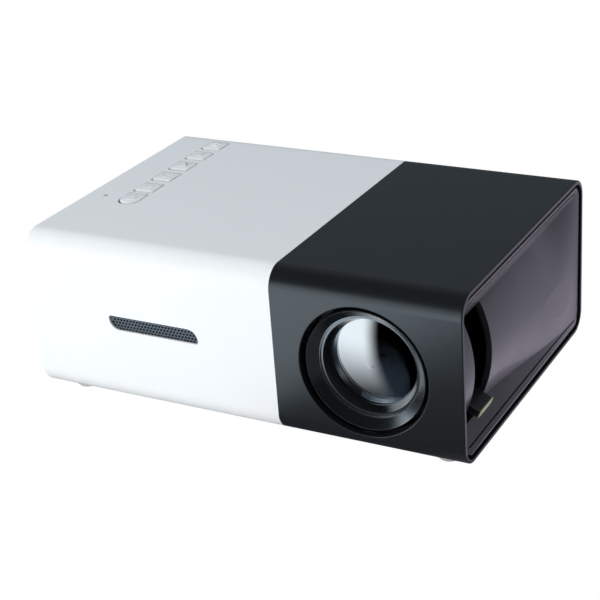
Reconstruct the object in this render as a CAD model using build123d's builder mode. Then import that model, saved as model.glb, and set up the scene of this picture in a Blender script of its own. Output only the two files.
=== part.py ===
from build123d import *
import math
import os

os.makedirs("parts", exist_ok=True)

# A pocket home projector. Origin: middle of the footprint, on the floor.
# +X runs to the lens end, -Y is the front face that the lens looks out of, +Z is up.

# ---- Overall sizes -------------------------------------------------------------------
length = 126.0
depth = 86.0
height = 48.0  # floor to the top of the case
white_length = 74.6  # the white part of the case, from the left end
foot_height = 2.0

# ---- Case ----------------------------------------------------------------------------
wall = 2.0
corner_radius = 5.7
rim_width = 1.1  # lip left around each open end
rebate_depth = 2.0
edge_round = 0.3
base_height = 4.2  # of the base covers, up to the seam
seam_step = 0.12  # how far the base covers stand in from the upper shells
base_lip = 1.2
base_lip_height = 2.0
lip_clearance = 0.15
hole_clearance = 0.2  # around anything that looks out through a wall
running_clearance = 0.05
overrun = 0.1  # how far a cut runs past the faces it opens

# ---- Lens and focus ------------------------------------------------------------------
lens_from_right = 26.6  # lens axis, in from the right end
lens_above_case = 22.2  # lens axis, up from the case's underside
barrel_radius = 15.0
barrel_wall = 1.4
barrel_length = 27.0
barrel_set_back = 1.0  # from the front face to the barrel's rim
flare_width = 1.3  # how much wider the rim is than the barrel
flare_length = 7.2
rim_gap = 1.2  # around the rim, in the hole of the case
funnel_step = 0.3
funnel_depth = 2.2
collar_depth = 2.6  # to the step inside the barrel's mouth
lens_seat = 1.8  # width of the lenses' flat rims
front_seat_depth = 3.0  # from the rim to the lens retaining ring
retaining_ring_length = 2.5
lens_edge = 2.0
lens_gap = 4.5  # between the first two lenses' rims
back_lip = 1.5
ring_wall = 2.5
ring_length = 11.0
clip_thickness = 1.0
clip_width = 1.4
holder_wall = 2.0
holder_set_back = 2.0
flange_thickness = 1.8
pin_radius = 1.0
tab_width = 8.0
tab_thickness = 1.9
tab_rest_angle = -24.5  # below the horizontal, about the lens axis
tab_end_gap = 0.45  # from the tab's tip to the end of the case
marker_thickness = 0.3
focus_swing = 49.0
focus_travel = 2.0
slot_clearance = 0.55

# ---- End panels ----------------------------------------------------------------------
panel_gap = 0.2
panel_recess = 0.4
panel_depth = 5.6
panel_skin = 1.5
scoop_border = 0.4
valley_above_lens = 14.8
crease_below_lens = 12.7
valley_depth = 3.0
crease_depth = 3.7
valley_fade_start = 66.0  # from the front face to where the valley starts to run out
crease_fade_start = 12.0
scoop_steps = 12
slot_below_lens = 14.2
left_panel_thickness = 1.8
vent_pitch = 3.6
vent_width = 1.8

# ---- Front grille --------------------------------------------------------------------
grille_from_left = 38.5
grille_above_case = 23.7
grille_width = 27.5
grille_height = 4.0
grille_small_radius = 0.7
grille_large_radius = 3.1
grille_skin = 0.6  # thickness of the case's wall around the grille opening
mesh_thickness = 0.6
mesh_margin = 1.5
mesh_pitch = 1.0
mesh_hole = 0.7

# ---- Keys ----------------------------------------------------------------------------
key_from_left = 14.3
key_width = 6.0
key_length = 7.2
key_pitch = 9.15
first_key_from_front = 39.6
power_key_length = 8.2
power_key_from_front = 30.8
key_gap = 0.25
key_corner = 0.6
key_rise = 0.45
key_travel = 0.4
key_flange = 0.7
key_flange_thickness = 0.8
stem_radius = 1.0
key_names = ("back_key", "left_key", "select_key", "right_key", "menu_key")
switch_size = 4.5
switch_height = 2.0
switch_gap = 0.3  # under a pressed stem, and over the switch
board_thickness = 1.2
pillar_radius = 1.2
light_from_left = 5.7
light_from_front = 30.6
light_radius = 0.75

# ---- Rear sockets, each placed by its distance from the left end ---------------------
main_board_thickness = 1.6
main_board_from_back = 15.0
socket_height = 14.0  # lower row, up from the case's underside
upper_socket_height = 31.0
socket_recess = 0.4
hdmi_from_left = 49.0
hdmi_width = 14.0
hdmi_height = 5.5
usb_from_left = 66.0
usb_width = 13.2
usb_height = 5.8
socket_skin = 0.4
jack_bore = 1.78
jack_radius = 3.0
headphone_from_left = 33.0
av_from_left = 23.0
inlet_from_left = 12.0
inlet_radius = 4.0
inlet_bore = 2.8
inlet_pin = 0.65
card_from_left = 49.0
card_width = 12.0
card_height = 2.4
receiver_from_left = 23.0
receiver_radius = 2.5

# ---- Cooling and light path ----------------------------------------------------------
fan_size = 35.0
fan_thickness = 10.0
fan_gap = 0.8
fan_bore = 16.2
hub_radius = 7.0
hub_disc = 1.5
shaft_radius = 1.0
blade_reach = 15.3
blade_chord = 8.0
blade_pitch = 35.0
blade_count = 7
optics_from_front = 49.0
light_above_case = 22.0
sink_length = 12.0
sink_base = 3.0
fin_count = 9
fin_thickness = 1.2
sink_width = 34.0
sink_height = 33.0
led_board_size = 30.0
led_board_thickness = 1.6
led_size = 8.0
led_thickness = 1.0
box_from_left = 29.0
box_from_right = 9.0
box_wall = 1.5
box_height = 33.0
box_width = 38.0
display_from_joint = 5.6
display_thickness = 1.4
sheet_gap = 6.0  # from the display to the field lens on each side
sheet_thickness = 1.0
condenser_from_box = 10.0
condenser_radius = 13.0
heat_glass_from_box = 24.0
mirror_length = 43.0
mirror_thickness = 1.1
ribbon_width = 12.0
ribbon_thickness = 0.3

# ---- Speaker -------------------------------------------------------------------------
speaker_radius = 14.5
magnet_radius = 8.0
magnet_length = 4.0
basket_depth = 6.0

# ---- Underside -----------------------------------------------------------------------
foot_radius = 3.2
foot_from_end = 8.0
foot_from_face = 9.0
foot_recess = 0.4
screw_from_end = 17.0
screw_from_face = 8.4
screw_from_joint = 8.6
black_screw_from_joint = 3.8
screw_radius = 1.0
screw_head_radius = 1.9
screw_head_height = 1.2
boss_radius = 2.4
boss_height = 4.5
rib_width = 1.6
nut_radius = 4.5
nut_bore = 2.6
nut_length = 5.0
nut_flange = 1.2
nut_flange_width = 1.2
nut_wall = 1.6  # of the collar that holds the nut

# ---- Places that follow from the sizes -----------------------------------------------
left_x = -length / 2
right_x = length / 2
front_y = -depth / 2
back_y = depth / 2
case_bottom = foot_height
case_top = height
case_height = case_top - case_bottom
middle_z = (case_top + case_bottom) / 2
joint_x = left_x + white_length
black_length = length - white_length
floor_top = case_bottom + wall
split_z = case_bottom + base_height
inner_top = case_top - wall
inner_front = front_y + wall
inner_back = back_y - wall
upward = (Align.CENTER, Align.CENTER, Align.MIN)

lens_x = right_x - lens_from_right
lens_z = case_bottom + lens_above_case
barrel_bore = barrel_radius - barrel_wall
clear_aperture = barrel_bore - lens_seat
funnel_radius = barrel_bore + funnel_step
rim_radius = barrel_radius + flare_width
lens_hole_radius = rim_radius + rim_gap

grille_x = left_x + grille_from_left
grille_z = case_bottom + grille_above_case
mesh_width = grille_width + 2 * mesh_margin
mesh_height = grille_height + 2 * mesh_margin
key_x = left_x + key_from_left
power_key_y = front_y + power_key_from_front
first_key_y = front_y + first_key_from_front
light_x = left_x + light_from_left
light_y = front_y + light_from_front
main_board_y = back_y - main_board_from_back
socket_z = case_bottom + socket_height
upper_socket_z = case_bottom + upper_socket_height
hdmi_x = left_x + hdmi_from_left
usb_x = left_x + usb_from_left
headphone_x = left_x + headphone_from_left
av_x = left_x + av_from_left
inlet_x = left_x + inlet_from_left
card_x = left_x + card_from_left
receiver_x = left_x + receiver_from_left
optics_y = front_y + optics_from_front
light_z = case_bottom + light_above_case
box_left = left_x + box_from_left
box_right = right_x - box_from_right
display_x = joint_x - display_from_joint
screw_y = back_y - screw_from_face
nut_x = joint_x - screw_from_joint


def case_outline(x, inset=0.0):
    """The case's rounded outline at station x, drawn inset from the outside."""
    with BuildSketch(Plane.YZ.offset(x)) as outline:
        with Locations((0, middle_z)):
            RectangleRounded(depth - 2 * inset, case_height - 2 * inset, corner_radius - inset)
    return outline.sketch


def disc(plane, radius, hole=0.0):
    """A disc or ring on a plane, centred on the plane's origin."""
    with BuildSketch(plane) as round_face:
        Circle(radius)
        if hole:
            Circle(hole, mode=Mode.SUBTRACT)
    return round_face.sketch


def panel_of(plane, width, tall, radius=0.0):
    """A plain or rounded rectangle on a plane, centred on the plane's origin."""
    with BuildSketch(plane) as flat:
        if radius:
            RectangleRounded(width, tall, radius)
        else:
            Rectangle(width, tall)
    return flat.sketch


def save(piece, name):
    """Label a finished piece and write it as its own STEP file."""
    piece.part.label = name
    export_step(piece.part, f"parts/{name}.step")


def facing_back(x, y, z):
    """A plane at a point, looking towards +Y, with its local x along -X."""
    return Plane(origin=(x, y, z), x_dir=(-1, 0, 0), z_dir=(0, 1, 0))


def facing_front(x, y, z):
    """A plane at a point, looking towards -Y, with its local x along +X."""
    return Plane(origin=(x, y, z), x_dir=(1, 0, 0), z_dir=(0, -1, 0))


def facing_right(x, y, z):
    """A plane at a point, looking towards +X, with its local x along +Y."""
    return Plane(origin=(x, y, z), x_dir=(0, 1, 0), z_dir=(1, 0, 0))


def level(x, y, z):
    """A level plane at a point, looking up."""
    return Plane(origin=(x, y, z), x_dir=(1, 0, 0), z_dir=(0, 0, 1))


# ---- Places of the keys --------------------------------------------------------------
keys = [("power_key", power_key_y, power_key_length)]
for index, key_name in enumerate(key_names):
    keys.append((key_name, first_key_y + index * key_pitch, key_length))
cap_bottom = inner_top - running_clearance - key_flange_thickness
key_board_top = cap_bottom - key_travel - switch_gap - switch_height
key_stem_bottom = key_board_top + key_travel + switch_gap
last_key_y = keys[-1][1]
board_front = power_key_y - power_key_length / 2 - 4.0
board_back = min(last_key_y + key_length / 2 + 1.0, inner_back - 0.5)
board_middle = (board_front + board_back) / 2
board_width = key_width + 6.0



def key_outline(z, name, y, long, grow=0.0):
    """A key's outline at a height, grown by a gap; the power key's front end is a half round."""
    with BuildSketch(Plane.XY.offset(z)) as outline:
        with Locations((key_x, y)):
            if name == "power_key":
                with Locations((0, -long / 2 + key_width / 2)):
                    Circle(key_width / 2 + grow)
                    Rectangle(key_width + 2 * grow, long - key_width / 2 + grow,
                              align=(Align.CENTER, Align.MIN))
                fillet(outline.vertices().group_by(Axis.Y)[-1], key_corner + grow)
            else:
                RectangleRounded(key_width + 2 * grow, long + 2 * grow, key_corner + grow)
    return outline.sketch


# ---- Places of the sockets -----------------------------------------------------------
board_back_y = main_board_y + main_board_thickness
socket_face_y = back_y - socket_recess
socket_length = socket_face_y - board_back_y
rear_openings = [
    (hdmi_x, socket_z, hdmi_width, hdmi_height, 0.8),
    (usb_x, socket_z, usb_width, usb_height, 0.6),
    (card_x, upper_socket_z, card_width, card_height, 0.5),
    (inlet_x, socket_z, 2 * inlet_radius, 2 * inlet_radius, 0.0),
    (headphone_x, socket_z, 2 * jack_radius, 2 * jack_radius, 0.0),
    (av_x, socket_z, 2 * jack_radius, 2 * jack_radius, 0.0),
    (receiver_x, upper_socket_z, 2 * receiver_radius, 2 * receiver_radius, 0.0),
]

# ---- Places of the focus mechanism ---------------------------------------------------
rim_y = front_y + barrel_set_back
flare_back = rim_y + flare_length
ring_front = flare_back + running_clearance
ring_back = ring_front + ring_length
ring_inner = barrel_radius + running_clearance
ring_outer = ring_inner + ring_wall
holder_inner = ring_outer + running_clearance
holder_outer = holder_inner + holder_wall
tab_back = ring_back - 0.7
tab_front = tab_back - tab_width
tab_reach = (right_x - tab_end_gap - lens_x) / math.cos(math.radians(tab_rest_angle))
slot_front_y = tab_front - focus_travel - slot_clearance
slot_back_y = tab_back + slot_clearance
barrel_back = rim_y + barrel_length
holder_front = inner_front + holder_set_back
holder_back = optics_y - box_width / 2

# ---- Places of the feet and screws ---------------------------------------------------
foot_x = right_x - foot_from_end
foot_y = back_y - foot_from_face
foot_places = [(x, y) for x in (-foot_x, foot_x) for y in (-foot_y, foot_y)]
white_screw_x = (left_x + screw_from_end, joint_x - screw_from_joint)
white_screws = [(x, side * screw_y) for x in white_screw_x for side in (-1, 1)]
black_front_x = joint_x + black_screw_from_joint
black_screws = [(black_front_x, -screw_y), (black_front_x, screw_y),
                (right_x - screw_from_end, screw_y)]


def screw_boss(x, y):
    """A boss over a base screw, tied to the nearer wall by a rib above the seam."""
    side = math.copysign(1, y)
    with BuildPart() as boss:
        with BuildSketch(Plane.XY.offset(floor_top)):
            with Locations((x, y)):
                Circle(boss_radius)
        extrude(amount=boss_height)
        with BuildSketch(Plane.XY.offset(split_z)):
            with Locations((x, side * (screw_y + inner_back) / 2)):
                Rectangle(rib_width, inner_back - screw_y + wall / 2)
        extrude(amount=floor_top + boss_height - split_z)
        with Locations((x, y, floor_top)):
            Cylinder(screw_radius, boss_height - 1.0, align=upward, mode=Mode.SUBTRACT)
    return boss.part


# ---- White upper shell ---------------------------------------------------------------
with BuildPart() as white_upper_shell:
    extrude(case_outline(left_x), amount=white_length)
    left_rim = white_upper_shell.faces().sort_by(Axis.X)[0].edges()
    fillet(left_rim, edge_round)
    extrude(case_outline(left_x, wall), amount=white_length, mode=Mode.SUBTRACT)
    extrude(case_outline(left_x, rim_width), amount=rebate_depth, mode=Mode.SUBTRACT)
    split(bisect_by=Plane.XY.offset(split_z), keep=Keep.TOP)
    # Screw bosses, each tied to the nearer wall by a rib.
    for side in (-1, 1):
        for x in white_screw_x:
            add(screw_boss(x, side * screw_y))
    # The leaf-shaped grille opening: two tight corners and two swept ones.
    with BuildSketch(facing_front(grille_x, inner_front + overrun, grille_z)) as leaf:
        Rectangle(grille_width, grille_height)
        swept = leaf.vertices().sort_by(lambda v: v.X + v.Y)
        fillet([swept[0], swept[-1]], grille_large_radius)
        tight = leaf.vertices().sort_by(lambda v: v.X - v.Y)
        fillet([tight[0], tight[-1]], grille_small_radius)
    extrude(amount=wall + 2 * overrun, mode=Mode.SUBTRACT)
    # The pocket that the grille's folded mesh sits in, from behind.
    pocket_plane = facing_front(grille_x, inner_front + overrun, grille_z)
    extrude(panel_of(pocket_plane, mesh_width + 2 * lip_clearance, mesh_height + 2 * lip_clearance,
                     1.0),
            amount=wall - grille_skin + overrun, mode=Mode.SUBTRACT)
    # Key openings and the indicator hole.
    for name, y, long in keys:
        extrude(key_outline(inner_top - overrun, name, y, long, key_gap), amount=wall + 2 * overrun,
                mode=Mode.SUBTRACT)
    extrude(disc(level(light_x, light_y, inner_top - overrun), light_radius),
            amount=wall + 2 * overrun,
            mode=Mode.SUBTRACT)
    # Two pillars that carry the key board.
    for y in (board_front + 2.0, board_middle - 2.0 + key_pitch / 4):
        with BuildSketch(Plane.XY.offset(key_board_top)):
            with Locations((key_x + key_width / 2 + 2.2, y)):
                Circle(pillar_radius)
        extrude(amount=inner_top - key_board_top + 0.2)
    # Openings for the sockets on the back.
    for x, z, wide, tall, radius in rear_openings:
        with BuildSketch(facing_back(x, inner_back - overrun, z)):
            if radius:
                RectangleRounded(wide + 2 * hole_clearance, tall + 2 * hole_clearance, radius)
            else:
                Circle(wide / 2 + hole_clearance)
        extrude(amount=wall + 2 * overrun, mode=Mode.SUBTRACT)
save(white_upper_shell, "white_upper_shell")

# ---- White base cover ----------------------------------------------------------------
inner_radius = corner_radius - wall
seam_round = inner_radius - math.sqrt(inner_radius ** 2 - (floor_top + inner_radius - split_z) ** 2)
lip_y = inner_back - seam_round - lip_clearance - base_lip / 2

with BuildPart() as white_base:
    extrude(case_outline(left_x, seam_step), amount=white_length)
    left_rim = white_base.faces().sort_by(Axis.X)[0].edges()
    fillet(left_rim, edge_round)
    extrude(case_outline(left_x, wall), amount=white_length, mode=Mode.SUBTRACT)
    split(bisect_by=Plane.XY.offset(split_z), keep=Keep.BOTTOM)
    # A locating lip that stands inside the upper shell's walls.
    for side in (-1, 1):
        with BuildSketch(Plane.XY.offset(floor_top)):
            with Locations(((left_x + joint_x) / 2, side * lip_y)):
                Rectangle(white_length / 3, base_lip)
        extrude(amount=split_z - floor_top + base_lip_height)
    # A recess for each foot, a counterbored hole for each screw, and the tripod bush's seat.
    for x, y in foot_places[:2]:
        with Locations((x, y, case_bottom)):
            Cylinder(foot_radius + 2 * running_clearance, foot_recess, align=upward,
                     mode=Mode.SUBTRACT)
    for x, y in white_screws:
        with Locations((x, y, case_bottom)):
            Cylinder(screw_head_radius + hole_clearance, screw_head_height, align=upward,
                     mode=Mode.SUBTRACT)
            Cylinder(screw_radius + hole_clearance, wall, align=upward, mode=Mode.SUBTRACT)
    with BuildSketch(Plane.XY.offset(floor_top)):
        with Locations((nut_x, 0)):
            Circle(nut_radius + nut_wall)
    extrude(amount=nut_length - wall - nut_flange)
    with Locations((nut_x, 0, case_bottom)):
        Cylinder(nut_radius - nut_flange_width, nut_length, align=upward, mode=Mode.SUBTRACT)
    extrude(case_outline(left_x, rim_width), amount=rebate_depth, mode=Mode.SUBTRACT)
save(white_base, "white_base")


# ---- Black upper shell ---------------------------------------------------------------
with BuildPart() as black_upper_shell:
    extrude(case_outline(joint_x), amount=black_length)
    right_rim = black_upper_shell.faces().sort_by(Axis.X)[-1].edges()
    fillet(right_rim, edge_round)
    extrude(case_outline(joint_x, wall), amount=black_length, mode=Mode.SUBTRACT)
    extrude(case_outline(right_x, rim_width), amount=-rebate_depth, mode=Mode.SUBTRACT)
    split(bisect_by=Plane.XY.offset(split_z), keep=Keep.TOP)
    for x, y in black_screws:
        add(screw_boss(x, y))
    # The hole that the lens looks out of.
    extrude(disc(facing_front(lens_x, inner_front + overrun, lens_z), lens_hole_radius),
            amount=wall + 2 * overrun,
            mode=Mode.SUBTRACT)
    hole_edge = black_upper_shell.edges().filter_by(GeomType.CIRCLE).sort_by(Axis.Y)[0]
    fillet(hole_edge, edge_round)
save(black_upper_shell, "black_upper_shell")

# ---- Black base cover ----------------------------------------------------------------
with BuildPart() as black_base:
    extrude(case_outline(joint_x, seam_step), amount=black_length)
    right_rim = black_base.faces().sort_by(Axis.X)[-1].edges()
    fillet(right_rim, edge_round)
    extrude(case_outline(joint_x, wall), amount=black_length, mode=Mode.SUBTRACT)
    split(bisect_by=Plane.XY.offset(split_z), keep=Keep.BOTTOM)
    with BuildSketch(Plane.XY.offset(floor_top)):
        with Locations(((joint_x + right_x) / 2, lip_y)):
            Rectangle(black_length / 5, base_lip)
    extrude(amount=split_z - floor_top + base_lip_height)
    for x, y in foot_places[2:]:
        with Locations((x, y, case_bottom)):
            Cylinder(foot_radius + 2 * running_clearance, foot_recess, align=upward,
                     mode=Mode.SUBTRACT)
    for x, y in black_screws:
        with Locations((x, y, case_bottom)):
            Cylinder(screw_head_radius + hole_clearance, screw_head_height, align=upward,
                     mode=Mode.SUBTRACT)
            Cylinder(screw_radius + hole_clearance, wall, align=upward, mode=Mode.SUBTRACT)
    extrude(case_outline(right_x, rim_width), amount=-rebate_depth, mode=Mode.SUBTRACT)
save(black_base, "black_base")

# ---- Right side panel with the finger scoop and the focus slot -----------------------
face_x = right_x - panel_recess
panel_back_x = face_x - panel_depth
panel_inset = wall + panel_gap
panel_top = case_top - panel_inset
panel_bottom = case_bottom + panel_inset
crest_x = face_x - 0.1


def scoop_section(y, valley_share, crease_share, inward=0.0):
    """Outline of the air outside the panel at station y, from a valley over a crest to a crease."""
    valley_z = lens_z + valley_above_lens
    crease_z = lens_z - crease_below_lens
    top_z = panel_top - scoop_border - inward
    bottom_z = panel_bottom + scoop_border + inward
    valley = (crest_x - inward - valley_share * valley_depth,
              valley_share * valley_z + (1 - valley_share) * (top_z - 1.5) - inward / 2)
    crease = (crest_x - inward - crease_share * crease_depth,
              crease_share * crease_z + (1 - crease_share) * (bottom_z + 1.5) + inward / 2)
    outside = right_x + 1.0
    with BuildSketch(Plane.XZ.offset(-y)) as section:
        with BuildLine():
            Line((outside, bottom_z), (outside, top_z))
            Line((outside, top_z), (face_x - inward, top_z))
            Line((face_x - inward, top_z), valley)
            ThreePointArc(valley, (crest_x - inward, lens_z), crease)
            Line(crease, (face_x - inward, bottom_z))
            Line((face_x - inward, bottom_z), (outside, bottom_z))
        make_face()
    return section.sketch


def fade(y, start, end):
    """One before start, falling smoothly to nearly nothing at end."""
    part = min(max((y - start) / (end - start), 0.0), 1.0)
    return 1.0 - 0.98 * part * part * (3 - 2 * part)


scoop_stations = []
for step in range(scoop_steps + 1):
    y = (step / scoop_steps - 0.5) * (depth + 2.0)
    scoop_stations.append((y, fade(y, front_y + valley_fade_start, inner_back),
                           fade(y, front_y + crease_fade_start, inner_back)))

with BuildPart() as panel_pocket:
    extrude(case_outline(panel_back_x - 1.0, panel_inset + panel_skin), amount=panel_depth + 1.0)
    loft([scoop_section(*station, panel_skin) for station in scoop_stations], mode=Mode.SUBTRACT)

with BuildPart() as right_side_panel:
    extrude(case_outline(panel_back_x, panel_inset), amount=panel_depth)
    loft([scoop_section(*station) for station in scoop_stations], mode=Mode.SUBTRACT)
    add(panel_pocket.part, mode=Mode.SUBTRACT)
    slot_middle_y = (slot_front_y + slot_back_y) / 2
    slot_top_z = lens_z + valley_above_lens
    slot_bottom_z = lens_z - slot_below_lens
    with BuildSketch(facing_right(panel_back_x - 1.0, slot_middle_y,
                                  (slot_top_z + slot_bottom_z) / 2)):
        RectangleRounded(slot_back_y - slot_front_y, slot_top_z - slot_bottom_z, 0.6)
    extrude(amount=panel_depth + 2.0, mode=Mode.SUBTRACT)
save(right_side_panel, "right_side_panel")

# ---- Left end panel with the fan's air slots -----------------------------------------
left_face_x = left_x + panel_recess
fan_z = floor_top + 1.0 + fan_size / 2

with BuildPart() as left_end_panel:
    extrude(case_outline(left_face_x, panel_inset), amount=left_panel_thickness)
    vent_count = int((fan_size - 2.0) / vent_pitch)
    for index in range(vent_count):
        offset_z = (index - (vent_count - 1) / 2) * vent_pitch
        reach = math.sqrt((fan_size / 2 - 1.0) ** 2 - offset_z ** 2)
        with BuildSketch(facing_right(left_face_x - 0.5, optics_y, fan_z + offset_z)):
            SlotOverall(2 * reach, vent_width)
        extrude(amount=left_panel_thickness + 1.0, mode=Mode.SUBTRACT)
save(left_end_panel, "left_end_panel")

# ---- Front grille mesh ---------------------------------------------------------------
with BuildPart() as front_grille_mesh:
    fold_depth = wall - grille_skin
    extrude(panel_of(facing_front(grille_x, inner_front, grille_z), mesh_width, mesh_height, 0.9),
            amount=fold_depth)
    extrude(panel_of(facing_front(grille_x, inner_front, grille_z), mesh_width - 2 * mesh_thickness,
                     mesh_height - 2 * mesh_thickness, 0.3),
            amount=fold_depth - mesh_thickness, mode=Mode.SUBTRACT)
    mesh_plane = facing_front(grille_x, inner_front - fold_depth + mesh_thickness, grille_z)
    rows = int(grille_height / (mesh_pitch * math.sqrt(3) / 2)) + 1
    columns = int(grille_width / mesh_pitch) - 1
    with BuildSketch(mesh_plane):
        for row in range(rows):
            shift = mesh_pitch / 2 * (row % 2)
            row_z = (row - (rows - 1) / 2) * mesh_pitch * math.sqrt(3) / 2
            with Locations((shift - mesh_pitch / 4, row_z)):
                with GridLocations(mesh_pitch, 1, columns, 1):
                    Circle(mesh_hole / 2)
    extrude(amount=mesh_thickness, mode=Mode.SUBTRACT)
save(front_grille_mesh, "front_grille_mesh")

# ---- Keys, each a cap with a flange and a stem over its switch -----------------------
for name, y, long in keys:
    with BuildPart() as key:
        extrude(key_outline(cap_bottom, name, y, long), amount=case_top + key_rise - cap_bottom)
        top_edges = key.faces().sort_by(Axis.Z)[-1].edges()
        fillet(top_edges, key_rise)
        with BuildSketch(Plane.XY.offset(cap_bottom)):
            with Locations((key_x, y)):
                Rectangle(key_width + 2 * key_flange, long - 1.0)
        extrude(amount=key_flange_thickness)
        with BuildSketch(Plane.XY.offset(cap_bottom)):
            with Locations((key_x, y)):
                Circle(stem_radius)
        extrude(amount=key_stem_bottom - cap_bottom)
    save(key, name)

with BuildPart() as key_switches:
    for name, y, long in keys:
        with Locations((key_x, y, key_board_top)):
            Box(switch_size, switch_size, switch_height, align=upward)
            Cylinder(stem_radius + running_clearance, switch_height, align=upward,
                     mode=Mode.SUBTRACT)
save(key_switches, "key_switches")

with BuildPart() as key_board:
    with BuildSketch(Plane.XY.offset(key_board_top - board_thickness)):
        with Locations((key_x + 1.0, board_middle)):
            Rectangle(board_width, board_back - board_front)
    extrude(amount=board_thickness)
save(key_board, "key_board")

# ---- Light pipe of the status light --------------------------------------------------
with BuildPart() as status_light_pipe:
    with Locations((light_x, light_y, case_top)):
        Cylinder(light_radius - running_clearance, wall,
                 align=(Align.CENTER, Align.CENTER, Align.MAX))
    with Locations((light_x, light_y, inner_top)):
        Cylinder(light_radius + 0.6, 1.5, align=(Align.CENTER, Align.CENTER, Align.MAX))
save(status_light_pipe, "status_light_pipe")

# ---- Focus mechanism and lens --------------------------------------------------------
lens_axis = Axis((lens_x, 0, lens_z), (0, 1, 0))
half_plane = Plane(origin=(lens_x, 0, lens_z), x_dir=(1, 0, 0), z_dir=(0, 0, 1))
ring_seat_y = rim_y + front_seat_depth
front_lens_y = ring_seat_y + retaining_ring_length
lens_fit_radius = barrel_bore - running_clearance


def sag_at_half(radius, sag):
    """How far a lens face still stands out half way to its edge."""
    if abs(sag) < 0.01:
        return 0.0
    curve = (radius ** 2 + sag ** 2) / (2 * sag)
    return sag - (curve - math.copysign(math.sqrt(curve ** 2 - (radius / 2) ** 2), curve))


def lens_outline(radius, seat, start, edge, front_sag, back_sag, plane=half_plane):
    """Half section of a lens: a flat rim in to seat, then faces that bulge where a sag is positive."""
    end = start + edge
    with BuildSketch(plane) as section:
        with BuildLine():
            ThreePointArc((0, start - front_sag), (seat / 2, start - sag_at_half(seat, front_sag)),
                          (seat, start))
            Polyline((seat, start), (radius, start), (radius, end), (seat, end))
            ThreePointArc((seat, end), (seat / 2, end + sag_at_half(seat, back_sag)),
                          (0, end + back_sag))
            Line((0, end + back_sag), (0, start - front_sag))
        make_face()
    return section.sketch


with BuildPart() as lens_barrel:
    with BuildSketch(half_plane):
        Polygon((rim_radius - 0.2, rim_y), (rim_radius, rim_y + 0.2), (rim_radius, flare_back),
                (barrel_radius, flare_back), (barrel_radius, barrel_back),
                (clear_aperture, barrel_back),
                (clear_aperture, barrel_back - back_lip), (barrel_bore, barrel_back - back_lip),
                (barrel_bore, rim_y + collar_depth), (funnel_radius, rim_y + collar_depth),
                (funnel_radius, rim_y + funnel_depth), align=None)
    revolve(axis=lens_axis)
save(lens_barrel, "lens_barrel")

with BuildPart() as lens_retaining_ring:
    with BuildSketch(half_plane):
        Polygon((lens_fit_radius, ring_seat_y), (lens_fit_radius, front_lens_y),
                (clear_aperture, front_lens_y),
                (clear_aperture, front_lens_y - 0.4), (lens_fit_radius - 0.6, ring_seat_y),
                align=None)
    revolve(axis=lens_axis)
save(lens_retaining_ring, "lens_retaining_ring")

middle_lens_y = front_lens_y + lens_edge + lens_gap
rear_lens_y = barrel_back - back_lip - lens_edge

with BuildPart() as front_lens:
    revolve(lens_outline(lens_fit_radius, clear_aperture, front_lens_y, lens_edge, 1.8, 0.8),
            axis=lens_axis)
save(front_lens, "front_lens")

with BuildPart() as middle_lens:
    revolve(lens_outline(lens_fit_radius, clear_aperture, middle_lens_y, lens_edge + 1.0, -1.0,
                         -0.8), axis=lens_axis)
save(middle_lens, "middle_lens")

with BuildPart() as rear_lens:
    revolve(lens_outline(lens_fit_radius, clear_aperture, rear_lens_y, lens_edge, 1.6, 0.6),
            axis=lens_axis)
save(rear_lens, "rear_lens")

with BuildPart() as lens_spacers:
    spacer_spans = ((front_lens_y + lens_edge, middle_lens_y),
                    (middle_lens_y + lens_edge + 1.0, rear_lens_y))
    for start, end in spacer_spans:
        extrude(disc(facing_back(lens_x, start, lens_z), lens_fit_radius, clear_aperture),
                amount=end - start)
save(lens_spacers, "lens_spacers")

# The focus ring turns on the barrel and its outer thread, drawn plain, rides in the holder.
tab_middle_y = (tab_front + tab_back) / 2
tab_cos = math.cos(math.radians(tab_rest_angle))
tab_sin = math.sin(math.radians(tab_rest_angle))


def tab_plane(radius):
    """The plane across the focus tab at a radius from the lens axis."""
    return Plane(origin=(lens_x + radius * tab_cos, tab_middle_y, lens_z + radius * tab_sin),
                 x_dir=(0, 1, 0), z_dir=(tab_cos, 0, tab_sin))


with BuildPart() as focus_ring:
    extrude(disc(facing_back(lens_x, ring_front, lens_z), ring_outer, ring_inner),
            amount=ring_length)
    tab_root = ring_outer - 0.8
    extrude(panel_of(tab_plane(tab_root), tab_width, tab_thickness),
            amount=tab_reach - marker_thickness - tab_root)
save(focus_ring, "focus_ring")

with BuildPart() as focus_tab_marker:
    extrude(panel_of(tab_plane(tab_reach - marker_thickness), tab_width, tab_thickness),
            amount=marker_thickness)
save(focus_tab_marker, "focus_tab_marker")

with BuildPart() as focus_ring_clip:
    clip_y = ring_back + running_clearance
    extrude(disc(facing_back(lens_x, clip_y, lens_z), barrel_radius + clip_width, barrel_radius),
            amount=clip_thickness)
save(focus_ring_clip, "focus_ring_clip")

pin_y = barrel_back - back_lip - 1.5
with BuildPart() as guide_pins:
    for side in (-1, 1):
        start = Plane(origin=(lens_x, pin_y, lens_z + side * (barrel_radius - 0.6)),
                      z_dir=(0, 0, side))
        extrude(disc(start, pin_radius), amount=holder_outer - 0.6 - barrel_radius + 0.6)
save(guide_pins, "guide_pins")

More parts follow.
